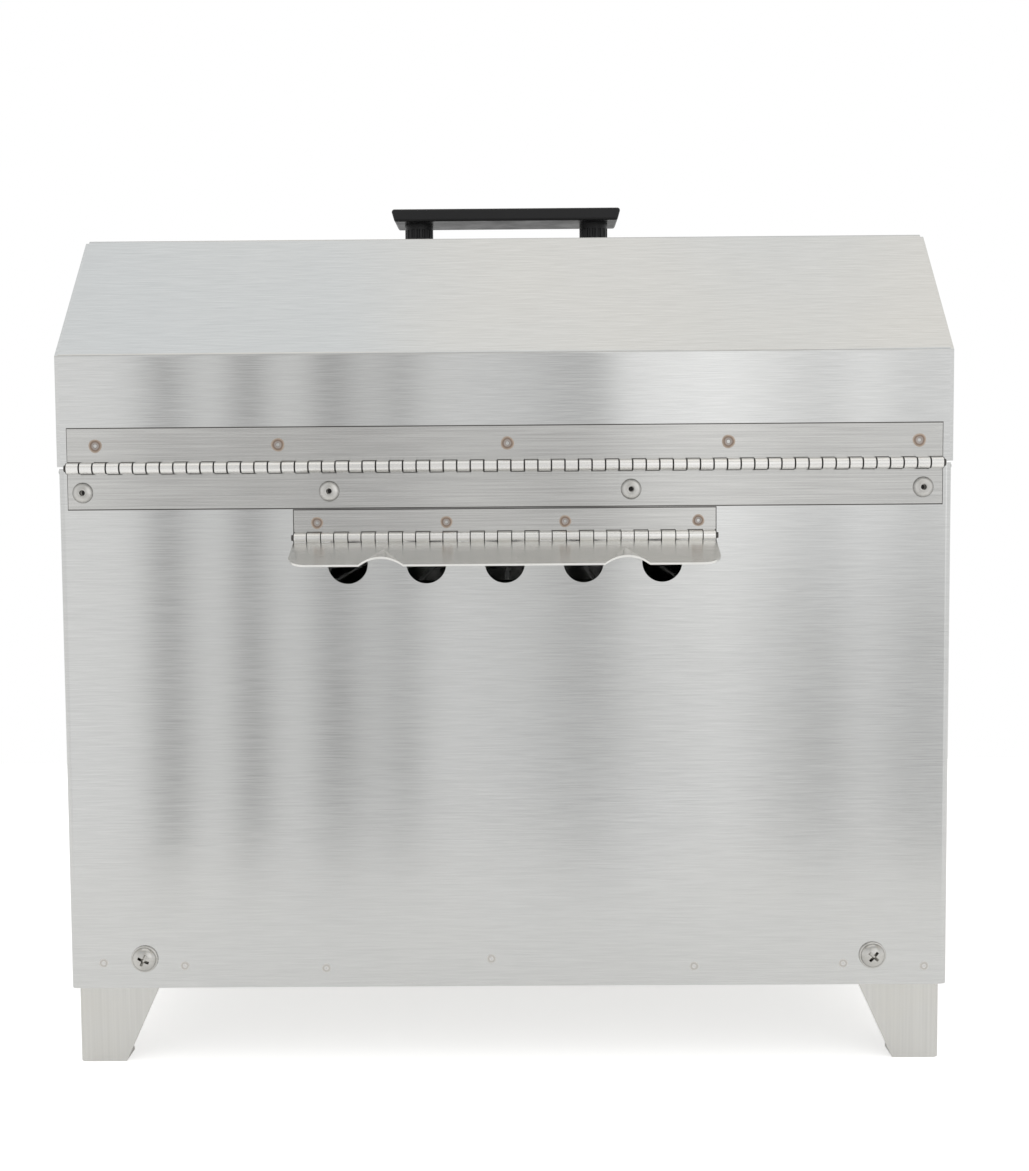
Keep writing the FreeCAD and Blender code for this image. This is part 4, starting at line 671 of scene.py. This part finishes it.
knobUser = {  # mm
    "skirt": 20.9, "grip": 16.2, "top": 14.6, "bore": 3.15, "boreDepth": 11, "rim": 2.4,
    "height": 16.0, "crown": 15.8, "flutes": 18, "fluteDepth": 0.75, "steps": 144,
    "lineWidth": 1.5, "lineLength": 6.6, "lineThick": 0.35, "lineUp": 9.2,
}
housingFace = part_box("control_housing")[0][1]
knobLow, knobHigh = (Vector(c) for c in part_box("thermostat_knob"))
knobX, knobZ = (knobLow.x + knobHigh.x) / 2, (knobLow.z + knobHigh.z) / 2
knobBack = knobHigh.y


def knobMesh(bm):
    k = knobUser
    # (radius, height, share of the flute depth) from the bottom of the bore to the crown
    rings = [(k["bore"], k["boreDepth"], 0), (k["bore"], 0, 0), (k["skirt"] - 0.5, 0, 0),
             (k["skirt"], 0.5, 0), (k["skirt"], k["rim"], 0), (k["skirt"] - 0.6, 3.1, 0),
             (k["grip"] + 1.2, 3.9, 0), (k["grip"] + 0.2, 4.6, 0.3), (k["grip"], 5.6, 1),
             (k["grip"] - 0.7, 12.5, 1), (k["top"] + 0.3, 14.6, 0.8), (k["top"] - 0.3, 15.5, 0.3),
             (k["top"] - 1.3, k["height"], 0), (k["top"] - 4.0, k["crown"], 0)]
    loops = []
    for radius, height, share in rings:
        loop = []
        for i in range(k["steps"]):
            a = math.tau * i / k["steps"]
            r = radius - share * k["fluteDepth"] * abs(math.sin(a * k["flutes"] / 2)) ** 0.6
            loop.append(bm.verts.new((r * mm * math.cos(a), r * mm * math.sin(a), height * mm)))
        loops.append(loop)
    ends = [bm.verts.new((0, 0, height * mm)) for height in (k["boreDepth"], k["crown"])]
    for i in range(k["steps"]):
        j = (i + 1) % k["steps"]
        bm.faces.new((ends[0], loops[0][i], loops[0][j]))
        bm.faces.new((ends[1], loops[-1][i], loops[-1][j]))
        for lower, upper in zip(loops, loops[1:]):
            bm.faces.new((lower[i], lower[j], upper[j], upper[i]))
    bm.transform(Matrix.Translation((knobX, knobBack, knobZ))
                 @ Matrix.Rotation(math.radians(90), 4, "X"))


knob = meshObject("heatKnob", knobMesh)
knob.data.materials.append(gripPlastic)
smooth(knob, 50)
give(knob, "knob", ["thermostat_knob"])


# A thin rounded bar along its own Y, standing on its own Z = 0
def strokeMesh(name, width, length, thick):
    steps = 6

    def build(bm):
        half, reach = width / 2, length / 2 - width / 2
        rim = [(side * half * math.cos(a), side * (reach + half * math.sin(a))) for side in (1, -1)
               for a in (math.pi * i / steps for i in range(steps + 1))]
        low, high = ([bm.verts.new((x * mm, y * mm, z * mm)) for x, y in rim]
                     for z in (-0.02, thick))
        bm.faces.new(low[::-1])
        bm.faces.new(high)
        for i in range(len(rim)):
            j = (i + 1) % len(rim)
            bm.faces.new((low[i], low[j], high[j], high[i]))
    return meshObject(name, build)


lineStroke = strokeMesh("knobLinePattern", knobUser["lineWidth"], knobUser["lineLength"],
                        knobUser["lineThick"])
linePlace = (knobX, knobBack - knobUser["crown"] * mm, knobZ + knobUser["lineUp"] * mm)
give(repeat("knobLine", lineStroke, [(linePlace, front)], dialPaint), "knob")

# Printed scales: strokes and plain numbers on the control housing and the thermometer's dial

scaleUser = {  # mm and degrees
    "heatTick": (0.7, 2.8, 0.06), "heatTickAt": 24.0, "heatTickPitch": 22.5, "heatTicks": 13,
    "heatNumberAt": 29.0, "heatNumberSize": 5.2, "heatNumberPitch": 45, "heatNumbers": 7,
    "dialTick": (0.35, 2.2, 0.05), "dialMainTick": (0.8, 4.0, 0.05), "dialTickAt": 23.6,
    "dialSweep": 240, "dialParts": 6, "dialSteps": 30, "dialStep": 50,
    "dialNumberAt": 18.2, "dialNumberSize": 3.9, "inkDepth": 0.04, "inkProud": 0.02,
    "dialHalf": 0.4,
}


def strokesAround(name, centre, facing, radius, stroke, turns, finish):
    up = Vector((1, 0, 0)).cross(-facing)
    spots = [(centre + radius * mm * (Vector((1, 0, 0)) * math.sin(a) + up * math.cos(a)),
              facing, -a) for a in (math.radians(t) for t in turns)]
    return repeat(name, stroke, spots, finish)


def numbersAround(name, centre, facing, radius, size, labels, finish):
    up = Vector((1, 0, 0)).cross(-facing)
    turn = Matrix((Vector((1, 0, 0)), up, facing)).transposed().to_4x4()

    def build(bm):
        for degrees, number in labels:
            text = bpy.data.curves.new("figure", "FONT")
            text.body = str(number)
            text.size, text.extrude = size * mm, scaleUser["inkDepth"] * mm
            text.align_x, text.align_y = "CENTER", "CENTER"
            holder = bpy.data.objects.new("figure", text)
            bpy.context.scene.collection.objects.link(holder)
            graph = bpy.context.evaluated_depsgraph_get()
            mesh = bpy.data.meshes.new_from_object(holder.evaluated_get(graph))
            a = math.radians(degrees)
            spot = centre + radius * mm * (Vector((1, 0, 0)) * math.sin(a) + up * math.cos(a))
            proud = facing * scaleUser["inkProud"] * mm
            mesh.transform(Matrix.Translation(spot + proud) @ turn)
            bm.from_mesh(mesh)
            bpy.data.objects.remove(holder)
            bpy.data.curves.remove(text)
            bpy.data.meshes.remove(mesh)
    thing = meshObject(name, build)
    thing.data.materials.clear()
    thing.data.materials.append(finish)
    return thing


knobCentre = Vector((knobX, housingFace, knobZ))
heatTurns = [i * scaleUser["heatTickPitch"] for i in range(scaleUser["heatTicks"])]
heatTicks = strokesAround("heatTicks", knobCentre, front, scaleUser["heatTickAt"],
                          strokeMesh("tickPattern", *scaleUser["heatTick"]), heatTurns, inkPaint)
give(heatTicks, "body")
heatLabels = [(i * scaleUser["heatNumberPitch"], i) for i in range(scaleUser["heatNumbers"])]
heatNumbers = numbersAround("heatNumbers", knobCentre, front, scaleUser["heatNumberAt"],
                            scaleUser["heatNumberSize"], heatLabels, inkPaint)
give(heatNumbers, "body")

dialLow, dialHigh = (Vector(c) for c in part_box("thermometer_dial"))
slope = Vector((0, -1, 1)).normalized()
dialCentre = (dialLow + dialHigh) / 2 + slope * scaleUser["dialHalf"] * mm
sweep, parts, steps = (scaleUser[k] for k in ("dialSweep", "dialParts", "dialSteps"))
smallTurns = [-sweep / 2 + sweep * i / steps for i in range(steps + 1) if i % (steps // parts)]
mainTurns = [-sweep / 2 + sweep * i / parts for i in range(parts + 1)]
for name, stroke, turns in (("dialTicks", "dialTick", smallTurns),
                            ("dialMainTicks", "dialMainTick", mainTurns)):
    ticks = strokesAround(name, dialCentre, slope, scaleUser["dialTickAt"],
                          strokeMesh("dialPattern", *scaleUser[stroke]), turns, inkPaint)
    give(ticks, "lid")
dialLabels = [(turn, scaleUser["dialStep"] * i) for i, turn in enumerate(mainTurns)]
dialNumbers = numbersAround("dialNumbers", dialCentre, slope, scaleUser["dialNumberAt"],
                            scaleUser["dialNumberSize"], dialLabels, inkPaint)
give(dialNumbers, "lid")

# Small cross-recess screws in the housing's ears

smallUser = {"share": 0.58, "length": 4.6, "headRadius": 3.8, "ear": 1.2}  # share of a leg screw
smallLow, smallHigh = (Vector(c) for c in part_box("housing_screws"))
smallHead = smallUser["headRadius"] * mm
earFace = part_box("front_panel")[0][1] - smallUser["ear"] * mm
smallSpots = [((x, earFace, z), front)
              for x in (smallLow.x + smallHead, smallHigh.x - smallHead)
              for z in (smallLow.z + smallHead, smallHigh.z - smallHead)]
smallScrews = repeat("housingScrews",
                     panScrew("smallPattern", smallUser["share"], smallUser["length"]),
                     smallSpots, boltSteel, turn=crossTurn, seed=7)
give(smallScrews, "body", ["housing_screws"])
print("knob, scales and small screws made")

# Stage, light and camera

cameraUser = {
    "place": (-9.5, 954.0, 284.0),  # mm
    "focal": 1600.0,                # in the same unit as the frame's width
    "frameWidth": 1029.0,
    "sensor": 36.0,                 # mm
    "yaw": 0.38, "pitch": 3.95, "roll": 0.425,
}
lightUser = {
    "key": 5.0, "fill": 2.5,            # watts
    "base": 0.93,                       # the floor's own shade
    "ceiling": (0.60, 0.625, 0.645),
    "warm": (0.75, 0.715, 0.66),        # patches of the ceiling
    "glow": (0.22, 0.58),               # the floor's own light, in reflections and to the eye
    "floor": (1.3, 0.62),               # half length and half depth of the sheet it stands on
    "spread": 25,                       # degrees to each side that the uprights take up
    # places across that spread, from the right of the object's back to its left, and greys
    "uprights": [
        (0.00, 0.92), (0.14, 0.90), (0.225, 0.60), (0.26, 0.88), (0.286, 0.62),
        (0.355, 0.96), (0.42, 0.84), (0.455, 0.60), (0.50, 0.80), (0.555, 0.88),
        (0.572, 0.84), (0.588, 0.50), (0.602, 0.78), (0.618, 0.76), (0.638, 0.38),
        (0.656, 0.86), (0.678, 0.88), (0.696, 0.34), (0.714, 0.92), (0.733, 0.90),
        (0.753, 0.38), (0.773, 0.95), (0.84, 0.97), (1.0, 0.90)],
}


floorMaterial, floorTree, floorShader = newMaterial("stageFloor")
floorShader.inputs["Base Color"].default_value = (*[lightUser["base"]] * 3, 1)
floorShader.inputs["Roughness"].default_value = 0.9
floorShader.inputs["Emission Color"].default_value = (1, 1, 1, 1)
eyeRay = addNode(floorTree, "ShaderNodeLightPath").outputs["Is Camera Ray"]
floorTree.links.new(rescale(floorTree, eyeRay, 0, 1, *lightUser["glow"]),
                    floorShader.inputs["Emission Strength"])
floorX, floorY = lightUser["floor"]
floorCorners = [(-floorX, -floorY, 0), (floorX, -floorY, 0), (floorX, floorY, 0),
                (-floorX, floorY, 0)]
floor = meshObject("stageFloor",
                   lambda bm: bm.faces.new([bm.verts.new(c) for c in floorCorners]))
floor.data.materials.append(floorMaterial)


def areaLight(name, place, aim, size, power):
    data = bpy.data.lights.new(name, "AREA")
    data.shape = "RECTANGLE"
    data.size, data.size_y = size
    data.energy = power
    lamp = bpy.data.objects.new(name, data)
    lamp.location = place
    lamp.rotation_euler = (Vector(aim) - Vector(place)).to_track_quat("-Z", "Y").to_euler()
    bpy.context.scene.collection.objects.link(lamp)
    return lamp


areaLight("topSoftbox", (0.0, 0.3, 2.2), (0, 0, 0.2), (2.2, 2.2), lightUser["key"])
areaLight("rearFill", (-0.9, 2.4, 0.9), (0, 0, 0.2), (1.6, 1.6), lightUser["fill"])
areaLight("frontFill", (0.9, -2.4, 0.9), (0, 0, 0.2), (1.6, 1.6), lightUser["fill"])


# A pale room; behind the viewer of the back stand a few dark uprights and a soft grey wall
def studioWorld():
    world = bpy.data.worlds.new("studio")
    bpy.context.scene.world = world
    world.use_nodes = True
    tree = world.node_tree
    background = tree.nodes["Background"]
    generated = addNode(tree, "ShaderNodeTexCoord").outputs["Generated"]
    toward = addNode(tree, "ShaderNodeSeparateXYZ", {"Vector": generated}).outputs
    angle = maths(tree, "ARCTAN2", toward["X"], toward["Y"])
    half = math.radians(lightUser["spread"])
    wall = ramp(tree, rescale(tree, angle, -half, half, 0, 1), lightUser["uprights"])
    lift = rescale(tree, toward["Z"], 0.2, 0.7, 0, 1)
    drift = addNode(tree, "ShaderNodeTexNoise", {
        "Vector": generated, "Scale": 4.5, "Detail": 0.0})
    above = mixColour(tree, ramp(tree, drift.outputs["Fac"], [(0.40, 0.0), (0.60, 1.0)]),
                      lightUser["ceiling"], lightUser["warm"])
    tone = mixColour(tree, lift, wall, above)
    seen = addNode(tree, "ShaderNodeLightPath").outputs["Is Camera Ray"]
    shown = mixColour(tree, seen, tone, (1.0, 1.0, 1.0))
    tree.links.new(shown, background.inputs["Color"])


studioWorld()


def aimCamera():
    data = bpy.data.cameras.new("camera")
    data.sensor_fit = "HORIZONTAL"
    data.sensor_width = cameraUser["sensor"]
    data.lens = cameraUser["sensor"] * cameraUser["focal"] / cameraUser["frameWidth"]
    data.clip_start, data.clip_end = 0.02, 50
    camera = bpy.data.objects.new("camera", data)
    yaw, pitch, roll = (math.radians(cameraUser[k]) for k in ("yaw", "pitch", "roll"))
    look = Vector((math.sin(yaw) * math.cos(pitch), -math.cos(yaw) * math.cos(pitch),
                   -math.sin(pitch)))
    right = look.cross(Vector((0, 0, 1))).normalized()
    up = right.cross(look)
    leaned = right * math.cos(roll) - up * math.sin(roll)
    upright = up * math.cos(roll) + right * math.sin(roll)
    turn = Matrix((leaned, upright, -look)).transposed().to_4x4()
    camera.matrix_world = Matrix.Translation(Vector(cameraUser["place"]) * mm) @ turn
    bpy.context.scene.collection.objects.link(camera)
    bpy.context.scene.camera = camera


aimCamera()
bpy.context.scene.view_settings.view_transform = "Standard"
print("stage, light and camera set")
